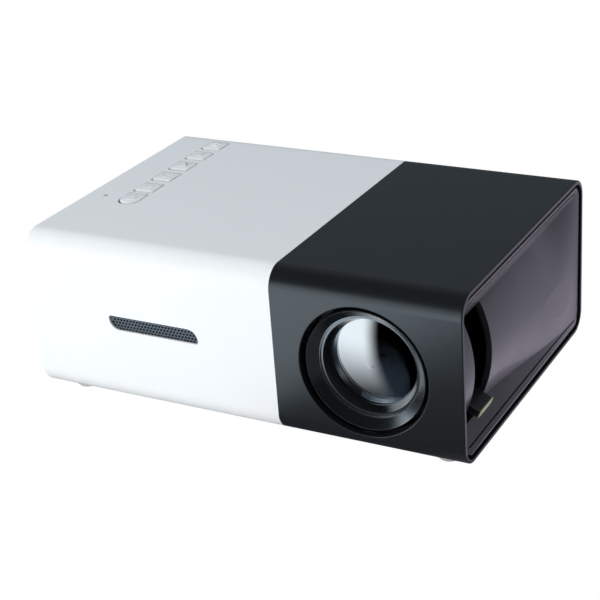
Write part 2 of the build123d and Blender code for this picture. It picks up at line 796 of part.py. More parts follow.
holder_length = holder_back - holder_front
with BuildPart() as lens_holder:
    extrude(disc(facing_back(lens_x, holder_front, lens_z), holder_outer), amount=holder_length)
    with BuildSketch(facing_back(lens_x, holder_back - flange_thickness, lens_z)):
        Rectangle(2 * holder_outer - 4.0, 2 * holder_outer)
        Rectangle(2 * holder_outer, 2 * holder_outer - 4.0)
        Circle(holder_outer - 1.0)
    extrude(amount=flange_thickness)
    extrude(disc(facing_back(lens_x, holder_front - overrun, lens_z), holder_inner),
            amount=holder_length + 2 * overrun,
            mode=Mode.SUBTRACT)
    # The window that the focus tab swings and slides in.
    window_height = 2 * (holder_outer * math.sin(math.radians(focus_swing / 2 + 3.0)) + tab_thickness)
    with BuildSketch(facing_right(lens_x + holder_inner / 2, (slot_front_y + slot_back_y) / 2,
                                  lens_z)):
        Rectangle(slot_back_y - slot_front_y, window_height)
    extrude(amount=holder_outer, mode=Mode.SUBTRACT)
    # A straight slot for each guide pin.
    with BuildSketch(level(lens_x, pin_y - focus_travel / 2, case_bottom)):
        Rectangle(2 * (pin_radius + running_clearance), focus_travel + 2 * pin_radius + 1.0)
    extrude(amount=case_height, mode=Mode.SUBTRACT)
save(lens_holder, "lens_holder")

# ---- Light path ----------------------------------------------------------------------
box_front = optics_y - box_width / 2
box_back = optics_y + box_width / 2
box_bottom = light_z - box_height / 2
box_top = light_z + box_height / 2
box_middle_x = (box_left + box_right) / 2
box_length = box_right - box_left
inside_width = box_width - 2 * box_wall
post_places = [(x, z) for x in (box_left + 10.0, box_right - 10.0)
               for z in (box_bottom + 5.0, box_top - 5.0)]
condenser_x = box_left + condenser_from_box
heat_glass_x = box_left + heat_glass_from_box

with BuildPart() as light_housing:
    with Locations((box_middle_x, optics_y, box_bottom)):
        Box(box_length, box_width, box_height - box_wall, align=upward)
    with Locations((box_middle_x - box_wall, optics_y, box_bottom + box_wall)):
        Box(box_length, inside_width, box_height, align=upward, mode=Mode.SUBTRACT)
    extrude(disc(facing_back(lens_x, box_front - 0.5, lens_z), barrel_bore), amount=box_wall + 1.0,
            mode=Mode.SUBTRACT)
    with Locations((display_x, box_back - box_wall / 2, light_z)):
        Box(1.0, box_wall + 1.0, ribbon_width + 1.0, mode=Mode.SUBTRACT)
    # Posts that carry the main board behind the box.
    for x, z in post_places:
        extrude(disc(facing_back(x, box_back - 0.5, z), 2.5, screw_radius),
                amount=main_board_y - box_back + 0.5)
save(light_housing, "light_housing")

with BuildPart() as light_housing_lid:
    with Locations((box_middle_x, optics_y, box_top - box_wall)):
        Box(box_length, box_width, box_wall, align=upward)
save(light_housing_lid, "light_housing_lid")

clear_height = box_height - 2 * box_wall - 0.4

with BuildPart() as led_board:
    extrude(panel_of(facing_right(box_left - led_board_thickness, optics_y, light_z),
                     led_board_size,
                     led_board_size), amount=led_board_thickness)
save(led_board, "led_board")

with BuildPart() as led_chip:
    extrude(panel_of(facing_right(box_left, optics_y, light_z), led_size, led_size),
            amount=led_thickness)
save(led_chip, "led_chip")

with BuildPart() as condenser_lens:
    light_half_plane = Plane(origin=(condenser_x, optics_y, light_z), x_dir=(0, 0, 1),
                             z_dir=(0, -1, 0))
    revolve(lens_outline(condenser_radius, condenser_radius - 0.5, 0, 2.0, 0.5, 5.0,
                         light_half_plane),
            axis=Axis((0, optics_y, light_z), (1, 0, 0)))
save(condenser_lens, "condenser_lens")

sheets = [("heat_glass", heat_glass_x, sheet_thickness),
          ("rear_field_lens", display_x - sheet_gap, sheet_thickness),
          ("display_panel", display_x, display_thickness),
          ("front_field_lens", display_x + sheet_gap, sheet_thickness)]
for name, x, thickness in sheets:
    with BuildPart() as sheet:
        extrude(panel_of(facing_right(x - thickness / 2, optics_y, light_z), inside_width - 0.2,
                         clear_height),
                amount=thickness)
    save(sheet, name)

with BuildPart() as fold_mirror:
    mirror_plane = Plane(origin=(lens_x, optics_y, light_z), x_dir=(1, -1, 0), z_dir=(1, 1, 0))
    extrude(panel_of(mirror_plane, mirror_length, clear_height), amount=mirror_thickness)
save(fold_mirror, "fold_mirror")

with BuildPart() as display_ribbon:
    ribbon_start = optics_y + inside_width / 2 - 0.1
    with Locations((display_x, (ribbon_start + main_board_y) / 2, light_z)):
        Box(ribbon_thickness, main_board_y - ribbon_start, ribbon_width)
save(display_ribbon, "display_ribbon")

# ---- Heat sink and fan ---------------------------------------------------------------
sink_right = box_left - led_board_thickness
sink_left = sink_right - sink_length
with BuildPart() as heat_sink:
    with Locations((sink_right - sink_base / 2, optics_y, light_z)):
        Box(sink_base, sink_width, sink_height)
    fin_pitch = (sink_width - fin_thickness) / (fin_count - 1)
    with Locations(((sink_left + sink_right - sink_base) / 2, optics_y, light_z)):
        with GridLocations(1, fin_pitch, 1, fin_count):
            Box(sink_length - sink_base, fin_thickness, sink_height)
save(heat_sink, "heat_sink")

fan_right = sink_left - fan_gap
fan_left = fan_right - fan_thickness
with BuildPart() as fan_housing:
    extrude(panel_of(facing_right(fan_left, optics_y, fan_z), fan_size, fan_size, 3.0),
            amount=fan_thickness)
    extrude(disc(facing_right(fan_left - overrun, optics_y, fan_z), fan_bore),
            amount=fan_thickness + 2 * overrun,
            mode=Mode.SUBTRACT)
    # A motor disc on the inner side, held by three arms, with the bearing tube on it.
    extrude(disc(facing_right(fan_right - hub_disc, optics_y, fan_z), hub_radius), amount=hub_disc)
    with BuildSketch(facing_right(fan_right - hub_disc, optics_y, fan_z)):
        with PolarLocations((hub_radius + fan_bore) / 2, 3, start_angle=90):
            Rectangle(fan_bore - hub_radius + 1.0, 1.6)
    extrude(amount=hub_disc)
    extrude(disc(facing_right(fan_left + 3.0, optics_y, fan_z), shaft_radius + 1.5),
            amount=fan_thickness - 3.0)
    extrude(disc(facing_right(fan_left, optics_y, fan_z), shaft_radius + running_clearance),
            amount=fan_thickness + 1.0, mode=Mode.SUBTRACT)
save(fan_housing, "fan_housing")

with BuildPart(facing_right(fan_left, optics_y, fan_z)) as fan_rotor:
    rotor_depth = fan_thickness - hub_disc - 1.0
    with Locations((0, 0, 0.5)):
        Cylinder(hub_radius, rotor_depth, align=upward)
    with Locations((0, 0, 2.0)):
        Cylinder(hub_radius - 1.0, rotor_depth, align=upward, mode=Mode.SUBTRACT)
    with Locations((0, 0, 0.5)):
        Cylinder(shaft_radius, fan_thickness - 1.0, align=upward)
    with PolarLocations(0, blade_count):
        with Locations(((hub_radius + blade_reach) / 2 - 0.2, 0, 0.5 + rotor_depth / 2)):
            Box(blade_reach - hub_radius + 0.4, blade_chord, 0.8, rotation=(blade_pitch, 0, 0))
save(fan_rotor, "fan_rotor")

# ---- Main board and what it carries --------------------------------------------------
board_left = left_face_x + left_panel_thickness + 2.0
board_right = box_right - 2.0
board_bottom = floor_top + 2.0
board_top = key_board_top - board_thickness - 1.0
with BuildPart() as main_board:
    with BuildSketch(facing_back((board_left + board_right) / 2, main_board_y,
                                 (board_bottom + board_top) / 2)):
        Rectangle(board_right - board_left, board_top - board_bottom)
    extrude(amount=main_board_thickness)
    for x, z in post_places:
        extrude(disc(facing_back(x, main_board_y - overrun, z),
                     screw_radius + 2 * running_clearance), amount=main_board_thickness + 2 * overrun,
                mode=Mode.SUBTRACT)
save(main_board, "main_board")

with BuildPart() as board_screws:
    for x, z in post_places:
        extrude(disc(facing_back(x, board_back_y, z), screw_head_radius), amount=1.2)
        extrude(disc(facing_front(x, board_back_y, z), screw_radius - running_clearance),
                amount=main_board_thickness + main_board_y - box_back - 0.2)
save(board_screws, "board_screws")

with BuildPart() as board_components:
    # Three flat chips towards the light box, then three cans and a coil towards the back.
    for x, z, size, rise in ((joint_x - 17.0, light_z, 9.0, 1.6),
                             (joint_x + 10.0, light_z, 8.0, 1.2),
                             (box_left - 8.0, light_z + 6.0, 6.0, 1.2)):
        extrude(panel_of(facing_front(x, main_board_y, z), size, size), amount=rise)
    for x, z in ((joint_x + 10.0, socket_z), (joint_x + 19.0, socket_z),
                 (joint_x + 10.0, upper_socket_z - 3.0)):
        extrude(disc(facing_back(x, board_back_y, z), 3.0), amount=7.0)
    extrude(panel_of(facing_back(joint_x + 22.0, board_back_y, upper_socket_z - 3.0), 9.0, 9.0),
            amount=4.0)
save(board_components, "board_components")

with BuildPart() as hdmi_socket:
    mouth = facing_back(hdmi_x, board_back_y, socket_z)
    extrude(panel_of(mouth, hdmi_width, hdmi_height, 0.8), amount=socket_length)
    inner = facing_back(hdmi_x, board_back_y + 2.0, socket_z)
    extrude(panel_of(inner, hdmi_width - 2 * socket_skin, hdmi_height - 2 * socket_skin, 0.5),
            amount=socket_length, mode=Mode.SUBTRACT)
    extrude(panel_of(mouth, hdmi_width - 3.4, 1.2), amount=socket_length - 1.5)
save(hdmi_socket, "hdmi_socket")

with BuildPart() as usb_socket:
    mouth = facing_back(usb_x, board_back_y, socket_z)
    extrude(panel_of(mouth, usb_width, usb_height, 0.6), amount=socket_length)
    inner = facing_back(usb_x, board_back_y + 2.0, socket_z)
    extrude(panel_of(inner, usb_width - 2 * socket_skin, usb_height - 2 * socket_skin, 0.3),
            amount=socket_length, mode=Mode.SUBTRACT)
    tongue = facing_back(usb_x, board_back_y, socket_z + 1.0)
    extrude(panel_of(tongue, usb_width - 2.2, 1.8), amount=socket_length - 1.2)
save(usb_socket, "usb_socket")

with BuildPart() as card_socket:
    extrude(panel_of(facing_back(card_x, board_back_y, upper_socket_z), card_width, card_height,
                     0.4),
            amount=socket_length)
    extrude(panel_of(facing_back(card_x, board_back_y + 2.0, upper_socket_z), card_width - 0.8,
                     1.1),
            amount=socket_length, mode=Mode.SUBTRACT)
save(card_socket, "card_socket")

jack_block_length = inner_back - 0.5 - board_back_y
for name, x in (("headphone_jack", headphone_x), ("av_jack", av_x)):
    with BuildPart() as jack:
        extrude(panel_of(facing_back(x, board_back_y, socket_z), 2 * jack_radius + 1.5,
                         2 * jack_radius + 1.5),
                amount=jack_block_length)
        extrude(disc(facing_back(x, board_back_y, socket_z), jack_radius), amount=socket_length)
        extrude(disc(facing_back(x, board_back_y + 1.0, socket_z), jack_bore), amount=socket_length,
                mode=Mode.SUBTRACT)
    save(jack, name)

with BuildPart() as power_inlet:
    extrude(panel_of(facing_back(inlet_x, board_back_y, socket_z), 2 * inlet_radius + 1.0,
                     2 * inlet_radius + 1.0),
            amount=jack_block_length)
    extrude(disc(facing_back(inlet_x, board_back_y, socket_z), inlet_radius), amount=socket_length)
    extrude(disc(facing_back(inlet_x, board_back_y + 2.0, socket_z), inlet_bore),
            amount=socket_length,
            mode=Mode.SUBTRACT)
    extrude(disc(facing_back(inlet_x, board_back_y, socket_z), inlet_pin),
            amount=socket_length - 1.0)
save(power_inlet, "power_inlet")

with BuildPart() as remote_receiver:
    extrude(panel_of(facing_back(receiver_x, board_back_y, upper_socket_z), 6.0, 7.0), amount=4.0)
save(remote_receiver, "remote_receiver")

with BuildPart() as receiver_window:
    extrude(disc(facing_front(receiver_x, back_y - 0.1, upper_socket_z), receiver_radius),
            amount=wall + 0.6)
    extrude(disc(facing_front(receiver_x, inner_back, upper_socket_z), receiver_radius + 0.8),
            amount=1.0)
save(receiver_window, "receiver_window")

# ---- Speaker behind the grille -------------------------------------------------------
speaker_front = inner_front
speaker_axis = Axis((grille_x, 0, grille_z), (0, 1, 0))
speaker_plane = Plane(origin=(grille_x, 0, grille_z), x_dir=(1, 0, 0), z_dir=(0, 0, 1))
with BuildPart() as speaker_frame:
    with BuildSketch(speaker_plane):
        Polygon((speaker_radius, speaker_front), (speaker_radius, speaker_front + 1.2),
                (speaker_radius - 1.6, speaker_front + 1.2),
                (magnet_radius, speaker_front + basket_depth),
                (0, speaker_front + basket_depth), (0, speaker_front + basket_depth - 1.0),
                (magnet_radius - 0.5, speaker_front + basket_depth - 1.0),
                (speaker_radius - 2.8, speaker_front + 0.8), (speaker_radius - 2.8, speaker_front),
                align=None)
    revolve(axis=speaker_axis)
save(speaker_frame, "speaker_frame")

with BuildPart() as speaker_cone:
    with BuildSketch(speaker_plane):
        Polygon((speaker_radius - 2.9, speaker_front + 0.2),
                (speaker_radius - 2.9, speaker_front + 0.6),
                (4.0, speaker_front + 3.4), (0, speaker_front + 2.4), (0, speaker_front + 2.0),
                (4.0, speaker_front + 3.0), align=None)
    revolve(axis=speaker_axis)
save(speaker_cone, "speaker_cone")

with BuildPart() as speaker_magnet:
    extrude(disc(facing_back(grille_x, speaker_front + basket_depth, grille_z), magnet_radius),
            amount=magnet_length)
save(speaker_magnet, "speaker_magnet")

# ---- Underside -----------------------------------------------------------------------
with BuildPart() as feet:
    for x, y in foot_places:
        with Locations((x, y, 0)):
            Cylinder(foot_radius, foot_height + foot_recess, align=upward)
    chamfer(feet.faces().group_by(Axis.Z)[0].edges(), 0.4)
save(feet, "feet")

with BuildPart() as base_screws:
    for x, y in white_screws + black_screws:
        with Locations((x, y, case_bottom)):
            Cylinder(screw_head_radius, screw_head_height, align=upward)
            Cylinder(screw_radius - running_clearance, wall + boss_height - 1.5, align=upward)
            Box(2.2, 0.5, 0.6, align=upward, mode=Mode.SUBTRACT)
            Box(0.5, 2.2, 0.6, align=upward, mode=Mode.SUBTRACT)
save(base_screws, "base_screws")

with BuildPart() as tripod_nut:
    with Locations((nut_x, 0, case_bottom)):
        Cylinder(nut_radius - nut_flange_width - running_clearance, nut_length, align=upward)
    with Locations((nut_x, 0, case_bottom + nut_length - nut_flange)):
        Cylinder(nut_radius, nut_flange, align=upward)
    with Locations((nut_x, 0, case_bottom)):
        Cylinder(nut_bore, nut_length, align=upward, mode=Mode.SUBTRACT)
save(tripod_nut, "tripod_nut")
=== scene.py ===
"""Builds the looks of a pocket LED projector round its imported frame."""

import math

import bmesh
import bpy
from bpy.props import FloatProperty, FloatVectorProperty, PointerProperty
from mathutils import Matrix, Vector


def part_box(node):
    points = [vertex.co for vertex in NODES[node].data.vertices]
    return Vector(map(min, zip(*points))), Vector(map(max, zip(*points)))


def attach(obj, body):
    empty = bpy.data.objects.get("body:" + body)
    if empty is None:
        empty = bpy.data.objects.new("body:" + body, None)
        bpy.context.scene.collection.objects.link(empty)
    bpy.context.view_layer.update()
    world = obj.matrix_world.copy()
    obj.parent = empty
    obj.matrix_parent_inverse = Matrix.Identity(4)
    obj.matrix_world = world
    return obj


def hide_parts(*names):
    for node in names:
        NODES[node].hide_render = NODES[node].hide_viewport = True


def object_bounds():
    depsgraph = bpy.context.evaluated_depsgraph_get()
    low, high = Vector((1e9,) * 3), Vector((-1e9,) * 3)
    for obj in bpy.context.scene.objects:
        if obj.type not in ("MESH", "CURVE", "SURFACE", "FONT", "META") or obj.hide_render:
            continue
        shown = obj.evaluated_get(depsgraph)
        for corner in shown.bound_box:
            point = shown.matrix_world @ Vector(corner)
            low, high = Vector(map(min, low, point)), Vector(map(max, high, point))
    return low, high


bl_info = {
    "name": "Pocket projector builder",
    "version": (1, 0, 0),
    "blender": (4, 5, 0),
    "location": "3D View > Sidebar > Projector",
    "description": "Finishes, keys, glass and studio for a pocket LED projector",
    "category": "Object",
}

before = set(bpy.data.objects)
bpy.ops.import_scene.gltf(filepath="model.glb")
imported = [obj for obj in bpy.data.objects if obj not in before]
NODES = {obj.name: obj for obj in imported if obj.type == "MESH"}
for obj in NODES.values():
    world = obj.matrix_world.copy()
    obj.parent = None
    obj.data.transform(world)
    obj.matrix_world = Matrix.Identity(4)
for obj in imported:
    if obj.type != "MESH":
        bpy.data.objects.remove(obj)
cad_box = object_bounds()

KEYS = ("power_key", "back_key", "left_key", "select_key", "right_key", "menu_key")
LENS_LOW, LENS_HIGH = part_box("lens_barrel")
LENS_X = (LENS_LOW.x + LENS_HIGH.x) / 2
LENS_Z = (LENS_LOW.z + LENS_HIGH.z) / 2

# Camera: focal length in mm, place in metres, turn in degrees
CAMERA_LENS = 91.88
CAMERA_PLACE = (0.1892, -0.3365, 0.1984)
CAMERA_TURN = (29.9, 24.87, -4.31)  # azimuth, elevation and roll

# Lights that gloss and clear glass see
COOL_GLOW = (0.74, 0.88, 1, 1)
WARM_GLOW = (0.89, 0.81, 1, 1)
GLASS_GLOW = (0.86, 0.94, 1, 1)
WHITE_GLOW = (1, 1, 1, 1)
LEFT_LEAN = -0.575  # slope of the line between the glow at the left and the rest

# Where each part of the floor's glow begins and where it is full, in metres along X or Y
FLOOR_LEFT = (0.020, -0.004)
# Along Y the near glow fades out towards the case front: a painted shadow of the case on the
# floor.
FLOOR_SOFT_SHADE = (-0.050, -0.120)
FLOOR_CONTACT_SHADE = (-0.046, -0.054)
FLOOR_FAR = (-0.105, -0.180)
FLOOR_INWARD = (0.090, 0.030)
FLOOR_RIGHT = (0.048, 0.062)
FLOOR_BESIDE = (-0.055, -0.015)
FLOOR_CLOSE = (0.085, 0.066)
FLOOR_SLANT, FLOOR_SHIFT = 0.5, 0.04  # the glow's left edge follows X + slant * Y + shift

# The same for the glow in the air and for clear glass, along the parts of a direction
SKY_LEFT = (0.35, 0.05)
SKY_FRONT = (0.35, -0.10)
SKY_LOW = (0.50, 0.12)
SKY_BACK = (0.0, 0.6)
GLASS_LEFT = (0.24, -0.04)
GLASS_FRONT = (0.20, -0.10)
GLASS_LOW = (0.50, 0.30)
GLASS_HIGH = (-0.86, -0.15)

# Keys, in metres
FLANGE_DEPTH = 0.0008
FLANGE_DROP = 0.00245  # from a mark's top to the flange's top
FLANGE_CORNER = 0.0003
STEM_RADIUS = 0.001
CAP_CORNER = 0.0006
MARK_SINK = 2.2  # height of a mark's bars, in heights that stand above the cap
# A cap's crown: how far each ring shrinks towards the middle, and its share of the rise
CAP_RINGS = ((0.955, 0.30), (0.88, 0.30), (0.72, 0.25), (0.45, 0.13), (0.2, 0.02))
SLACK = 1e-5
SHARP_ANGLE = math.radians(38)

# Marks on the keys, in metres
POWER_RADIUS = 0.0013
POWER_START, POWER_SWEEP = math.radians(120), math.radians(300)
POWER_BAR_RISE, POWER_BAR_LENGTH = 0.0011, 0.0013
MENU_PITCH, MENU_LENGTH = 0.0010, 0.0024
SELECT_RADIUS = 0.0012
BACK_SHIFT, BACK_LENGTH = 0.0003, 0.0022
BACK_TIP_SHIFT, BACK_TIP_SPREAD, BACK_TIP_LENGTH = 0.0005, 0.0004, 0.0014
BACK_TIP_ANGLE = math.radians(40)
ARROW_SHIFT, ARROW_SPREAD, ARROW_LENGTH = 0.0002, 0.0005, 0.0018
ARROW_ANGLE = math.radians(42)


# ---- Settings ---------------------------------------------------------------------------
def length(name, description, default):
    """A size in metres, shown with its unit."""
    return FloatProperty(name=name, description=description, default=default, min=0.0,
                         precision=5, unit="LENGTH", subtype="DISTANCE")


def colour(name, description, default):
    """A linear colour."""
    return FloatVectorProperty(name=name, description=description, default=default, size=3,
                               min=0.0, max=1.0, subtype="COLOR")


def share(name, description, default, most=1.0):
    """A plain factor."""
    return FloatProperty(name=name, description=description, default=default, min=0.0,
                         max=most, subtype="FACTOR")


def power(name, description, default):
    """The power of a lamp."""
    return FloatProperty(name=name, description=description, default=default, min=0.0,
                         unit="POWER")


class CaseSettings(bpy.types.PropertyGroup):
    white: colour("White", "Colour of the white mouldings", (0.80, 0.82, 0.835))
    black: colour("Black", "Colour of the black mouldings", (0.0080, 0.0092, 0.0102))
    panel: colour("End panel", "Colour of the scooped end panel", (0.040, 0.036, 0.044))
    grain: length("Grain", "Width of one pit of the moulded grain", 0.00035)
    grain_depth: length("Grain depth", "Depth of the moulded grain", 0.000006)


class KeySettings(bpy.types.PropertyGroup):
    flange: length("Flange", "How far a key's flange reaches past its cap", 0.0007)
    crown: length("Crown", "Height of a cap's pillow above its edge", 0.00026)
    mark_height: length("Mark height", "How far a mark stands above its cap", 0.00010)
    mark_width: length("Mark width", "Width of a mark's stroke", 0.00042)


class LensSettings(bpy.types.PropertyGroup):
    coating: colour("Coating", "Tint of the light that the lens coating returns",
                    (0.86, 0.93, 1.0))
    glass: colour("Glass", "How much light the front lens lets through", (0.045, 0.050, 0.058))
    coat_ior: FloatProperty(name="Coating strength",
                            description="Index of the front lens's coating",
                            default=3.0, min=1.0, max=4.0)
    groove: length("Groove", "Pitch of the turned grooves in the barrel's mouth", 0.00045)
    groove_depth: length("Groove depth", "Depth of the turned grooves", 0.00004)


class StudioSettings(bpy.types.PropertyGroup):
    floor: share("Floor", "Brightness of the pale floor", 1.0, 2.0)
    air: share("Air", "Brightness of the light from all round", 0.25, 2.0)
    left_glow: share("Left glow", "Brightness that gloss sees at the front left", 2.8, 9.0)
    right_glow: share("Right glow", "Brightness that gloss sees at the right", 0.54, 9.0)
    glass_glow: share("Glass glow", "Brightness that clear glass sees at the front left", 3.3, 9.0)
    dim_glow: share("Dim glow", "Brightness that gloss sees elsewhere", 0.15, 9.0)
    front_power: power("Front softbox", "Power of the softbox at the front", 4.2)
    top_power: power("Top softbox", "Power of the softbox overhead", 2.35)
    side_power: power("Side softbox", "Power of the softbox at the right", 0.8)


# ---- Node helpers -----------------------------------------------------------------------
def add(tree, kind, place=(0, 0), **inputs):
    """A node with its inputs set; a tuple of node and output name is linked instead."""
    made = tree.nodes.new(kind)
    made.location = place
    for name, value in inputs.items():
        feed(tree, made, name.replace("_", " "), value)
    return made


def feed(tree, node, name, value):
    """Sets one input of a node, or links it."""
    if isinstance(value, tuple) and isinstance(value[0], bpy.types.Node):
        tree.links.new(value[0].outputs[value[1]], node.inputs[name])
    else:
        node.inputs[name].default_value = value


def new_group(name, inputs, outputs):
    """A shader node group with named inputs and outputs, and its two end nodes."""
    group = bpy.data.node_groups.new(name, "ShaderNodeTree")
    for label, kind, default in inputs:
        made = group.interface.new_socket(name=label, in_out="INPUT", socket_type=kind)
        if default is not None:
            made.default_value = default
    for label, kind in outputs:
        group.interface.new_socket(name=label, in_out="OUTPUT", socket_type=kind)
    return group, group.nodes.new("NodeGroupInput"), group.nodes.new("NodeGroupOutput")


def number(tree, operation, first, second):
    """One step of arithmetic on two numbers or outputs."""
    made = tree.nodes.new("ShaderNodeMath")
    made.operation = operation
    for slot, value in enumerate((first, second)):
        if isinstance(value, tuple):
            tree.links.new(value[0].outputs[value[1]], made.inputs[slot])
        else:
            made.inputs[slot].default_value = value
    return made


def blend(tree, mask, first, second):
    """Mixes two colours by a mask."""
    made = tree.nodes.new("ShaderNodeMix")
    made.data_type = "RGBA"
    for slot, value in ((0, mask), (6, first), (7, second)):
        if isinstance(value, tuple) and isinstance(value[0], bpy.types.Node):
            tree.links.new(value[0].outputs[value[1]], made.inputs[slot])
        else:
            made.inputs[slot].default_value = value
    return made, 2


# ---- Shared effects ---------------------------------------------------------------------
def build_moulded_grain():
    """Fine pits left by the textured steel of a mould."""
    group, start, end = new_group(
        "Moulded Grain",
        (("Vector", "NodeSocketVector", None), ("Density", "NodeSocketFloat", 3000.0),
         ("Depth", "NodeSocketFloat", 1.0)),
        (("Height", "NodeSocketFloat"),))
    fine = add(group, "ShaderNodeTexNoise", Vector=(start, "Vector"), Scale=(start, "Density"),
               Detail=2.0, Roughness=0.6)
    coarse_density = number(group, "MULTIPLY", (start, "Density"), 0.27)
    coarse = add(group, "ShaderNodeTexNoise", Vector=(start, "Vector"), Scale=(coarse_density, 0),
                 Detail=1.0)
    coarse_share = number(group, "MULTIPLY", (coarse, 0), 0.35)
    total = number(group, "ADD", (fine, 0), (coarse_share, 0))
    height = number(group, "MULTIPLY", (total, 0), (start, "Depth"))
    group.links.new(height.outputs[0], end.inputs["Height"])
    return group


def build_tone_drift():
    """Slow changes of tone and gloss, as handled plastic has."""
    group, start, end = new_group(
        "Tone Drift",
        (("Vector", "NodeSocketVector", None), ("Color", "NodeSocketColor", (0.5, 0.5, 0.5, 1.0)),
         ("Tone", "NodeSocketFloat", 0.05), ("Roughness", "NodeSocketFloat", 0.4),
         ("Gloss", "NodeSocketFloat", 0.05), ("Density", "NodeSocketFloat", 60.0)),
        (("Color", "NodeSocketColor"), ("Roughness", "NodeSocketFloat")))
    cloud = add(group, "ShaderNodeTexNoise", Vector=(start, "Vector"), Scale=(start, "Density"),
                Detail=4.0, Roughness=0.55)
    centred = number(group, "SUBTRACT", (cloud, 0), 0.5)
    tone = number(group, "MULTIPLY", (centred, 0), (start, "Tone"))
    value = number(group, "ADD", (tone, 0), 1.0)
    shade = group.nodes.new("ShaderNodeHueSaturation")
    group.links.new(start.outputs["Color"], shade.inputs["Color"])
    group.links.new(value.outputs[0], shade.inputs["Value"])
    smear_density = number(group, "MULTIPLY", (start, "Density"), 3.1)
    smear = add(group, "ShaderNodeTexNoise", Vector=(start, "Vector"), Scale=(smear_density, 0),
                Detail=3.0)
    smear_centred = number(group, "SUBTRACT", (smear, 0), 0.5)
    gloss = number(group, "MULTIPLY", (smear_centred, 0), (start, "Gloss"))
    rough = number(group, "ADD", (gloss, 0), (start, "Roughness"))
    group.links.new(shade.outputs[0], end.inputs["Color"])
    group.links.new(rough.outputs[0], end.inputs["Roughness"])
    return group


def build_edge_highlight():
    """A mask for painted highlight: white in patches along rounded edges and black elsewhere."""
    group, start, end = new_group(
        "Edge Highlight",
        (("Vector", "NodeSocketVector", None), ("Reach", "NodeSocketFloat", 0.0004),
         ("Amount", "NodeSocketFloat", 0.3)),
        (("Mask", "NodeSocketFloat"),))
    rounded = group.nodes.new("ShaderNodeBevel")
    rounded.samples = 4
    group.links.new(start.outputs["Reach"], rounded.inputs["Radius"])
    plain = group.nodes.new("ShaderNodeNewGeometry")
    turn = group.nodes.new("ShaderNodeVectorMath")
    turn.operation = "DOT_PRODUCT"
    group.links.new(rounded.outputs[0], turn.inputs[0])
    group.links.new(plain.outputs["Normal"], turn.inputs[1])
    bend = number(group, "SUBTRACT", 1.0, (turn, 1))
    strong = number(group, "MULTIPLY", (bend, 0), 6.0)
    broken = add(group, "ShaderNodeTexNoise", Vector=(start, "Vector"), Scale=900.0, Detail=3.0)
    patchy = number(group, "MULTIPLY", (strong, 0), (broken, 0))
    mask = number(group, "MULTIPLY", (patchy, 0), (start, "Amount"))
    mask.use_clamp = True
    group.links.new(mask.outputs[0], end.inputs["Mask"])
    return group


def build_turned_rings():
    """Concentric grooves about an axis along Y, as a lathe leaves them."""
    group, start, end = new_group(
        "Turned Rings",
        (("Vector", "NodeSocketVector", None), ("Density", "NodeSocketFloat", 2000.0),
         ("Depth", "NodeSocketFloat", 1.0)),
        (("Height", "NodeSocketFloat"),))
    apart = group.nodes.new("ShaderNodeSeparateXYZ")
    group.links.new(start.outputs["Vector"], apart.inputs[0])
    across = number(group, "MULTIPLY", (apart, 0), (apart, 0))
    upward = number(group, "MULTIPLY", (apart, 2), (apart, 2))
    both = number(group, "ADD", (across, 0), (upward, 0))
    radius = number(group, "SQRT", (both, 0), 0.0)
    along = number(group, "ADD", (radius, 0), (apart, 1))
    phase = number(group, "MULTIPLY", (along, 0), (start, "Density"))
    wave = number(group, "SINE", (phase, 0), 0.0)
    height = number(group, "MULTIPLY", (wave, 0), (start, "Depth"))
    group.links.new(height.outputs[0], end.inputs["Height"])
    return group


def groups():
    """The shared effects, built once."""
    makers = {"Moulded Grain": build_moulded_grain, "Tone Drift": build_tone_drift,
              "Edge Highlight": build_edge_highlight, "Turned Rings": build_turned_rings,
              "Glass View": build_glass_view}
    return {name: bpy.data.node_groups.get(name) or maker() for name, maker in makers.items()}


def place_group(tree, name, **inputs):
    """One shared effect in a material's tree."""
    made = tree.nodes.new("ShaderNodeGroup")
    made.node_tree = groups()[name]
    for label, value in inputs.items():
        feed(tree, made, label, value)
    return made


def rgba(color):
    """A colour with full alpha."""
    return (*tuple(color)[:3], 1.0)


# ---- Finishes ---------------------------------------------------------------------------
def finish(name, color, roughness, tone=0.05, gloss=0.06, density=60.0, grain=0.0,
           grain_depth=0.0, edge_glint=0.0, edge_glint_color=(0.3, 0.3, 0.3), rings=0.0, ring_depth=0.0,
           centre=None, **shader):
    """A material with drifting tone and gloss, moulded grain, turned rings and a painted highlight
    along its edges.
    """
    material = bpy.data.materials.new(name)
    material.use_nodes = True
    tree = material.node_tree
    tree.nodes.clear()
    result = tree.nodes.new("ShaderNodeOutputMaterial")
    surface = tree.nodes.new("ShaderNodeBsdfPrincipled")
    tree.links.new(surface.outputs[0], result.inputs[0])
    where = tree.nodes.new("ShaderNodeTexCoord")
    vector = (where, "Object")
    drift = place_group(tree, "Tone Drift", Vector=vector, Color=rgba(color), Tone=tone,
                        Roughness=roughness, Gloss=gloss, Density=density)
    shade = (drift, "Color")
    # A lighter colour blended in along rounded edges: a painted highlight.
    if edge_glint:
        glinting_edges = place_group(tree, "Edge Highlight", Vector=vector, Amount=edge_glint)
        shade = blend(tree, (glinting_edges, "Mask"), shade, rgba(edge_glint_color))
    tree.links.new(shade[0].outputs[shade[1]], surface.inputs["Base Color"])
    tree.links.new(drift.outputs["Roughness"], surface.inputs["Roughness"])
    height = None
    if grain:
        pits = place_group(tree, "Moulded Grain", Vector=vector, Density=1.0 / grain,
                           Depth=grain_depth)
        height = (pits, "Height")
    if rings:
        turned = add(tree, "ShaderNodeMapping", Vector=vector,
                     Location=tuple(-part for part in centre))
        lathe = place_group(tree, "Turned Rings", Vector=(turned, 0),
                            Density=2 * math.pi / rings, Depth=ring_depth)
        ring_height = (lathe, "Height")
        height = (number(tree, "ADD", height, ring_height), 0) if height else ring_height
    if height:
        bump = add(tree, "ShaderNodeBump", Strength=1.0, Distance=1.0, Height=height)
        tree.links.new(bump.outputs[0], surface.inputs["Normal"])
    for label, value in shader.items():
        surface.inputs[label.replace("_", " ")].default_value = value
    return material


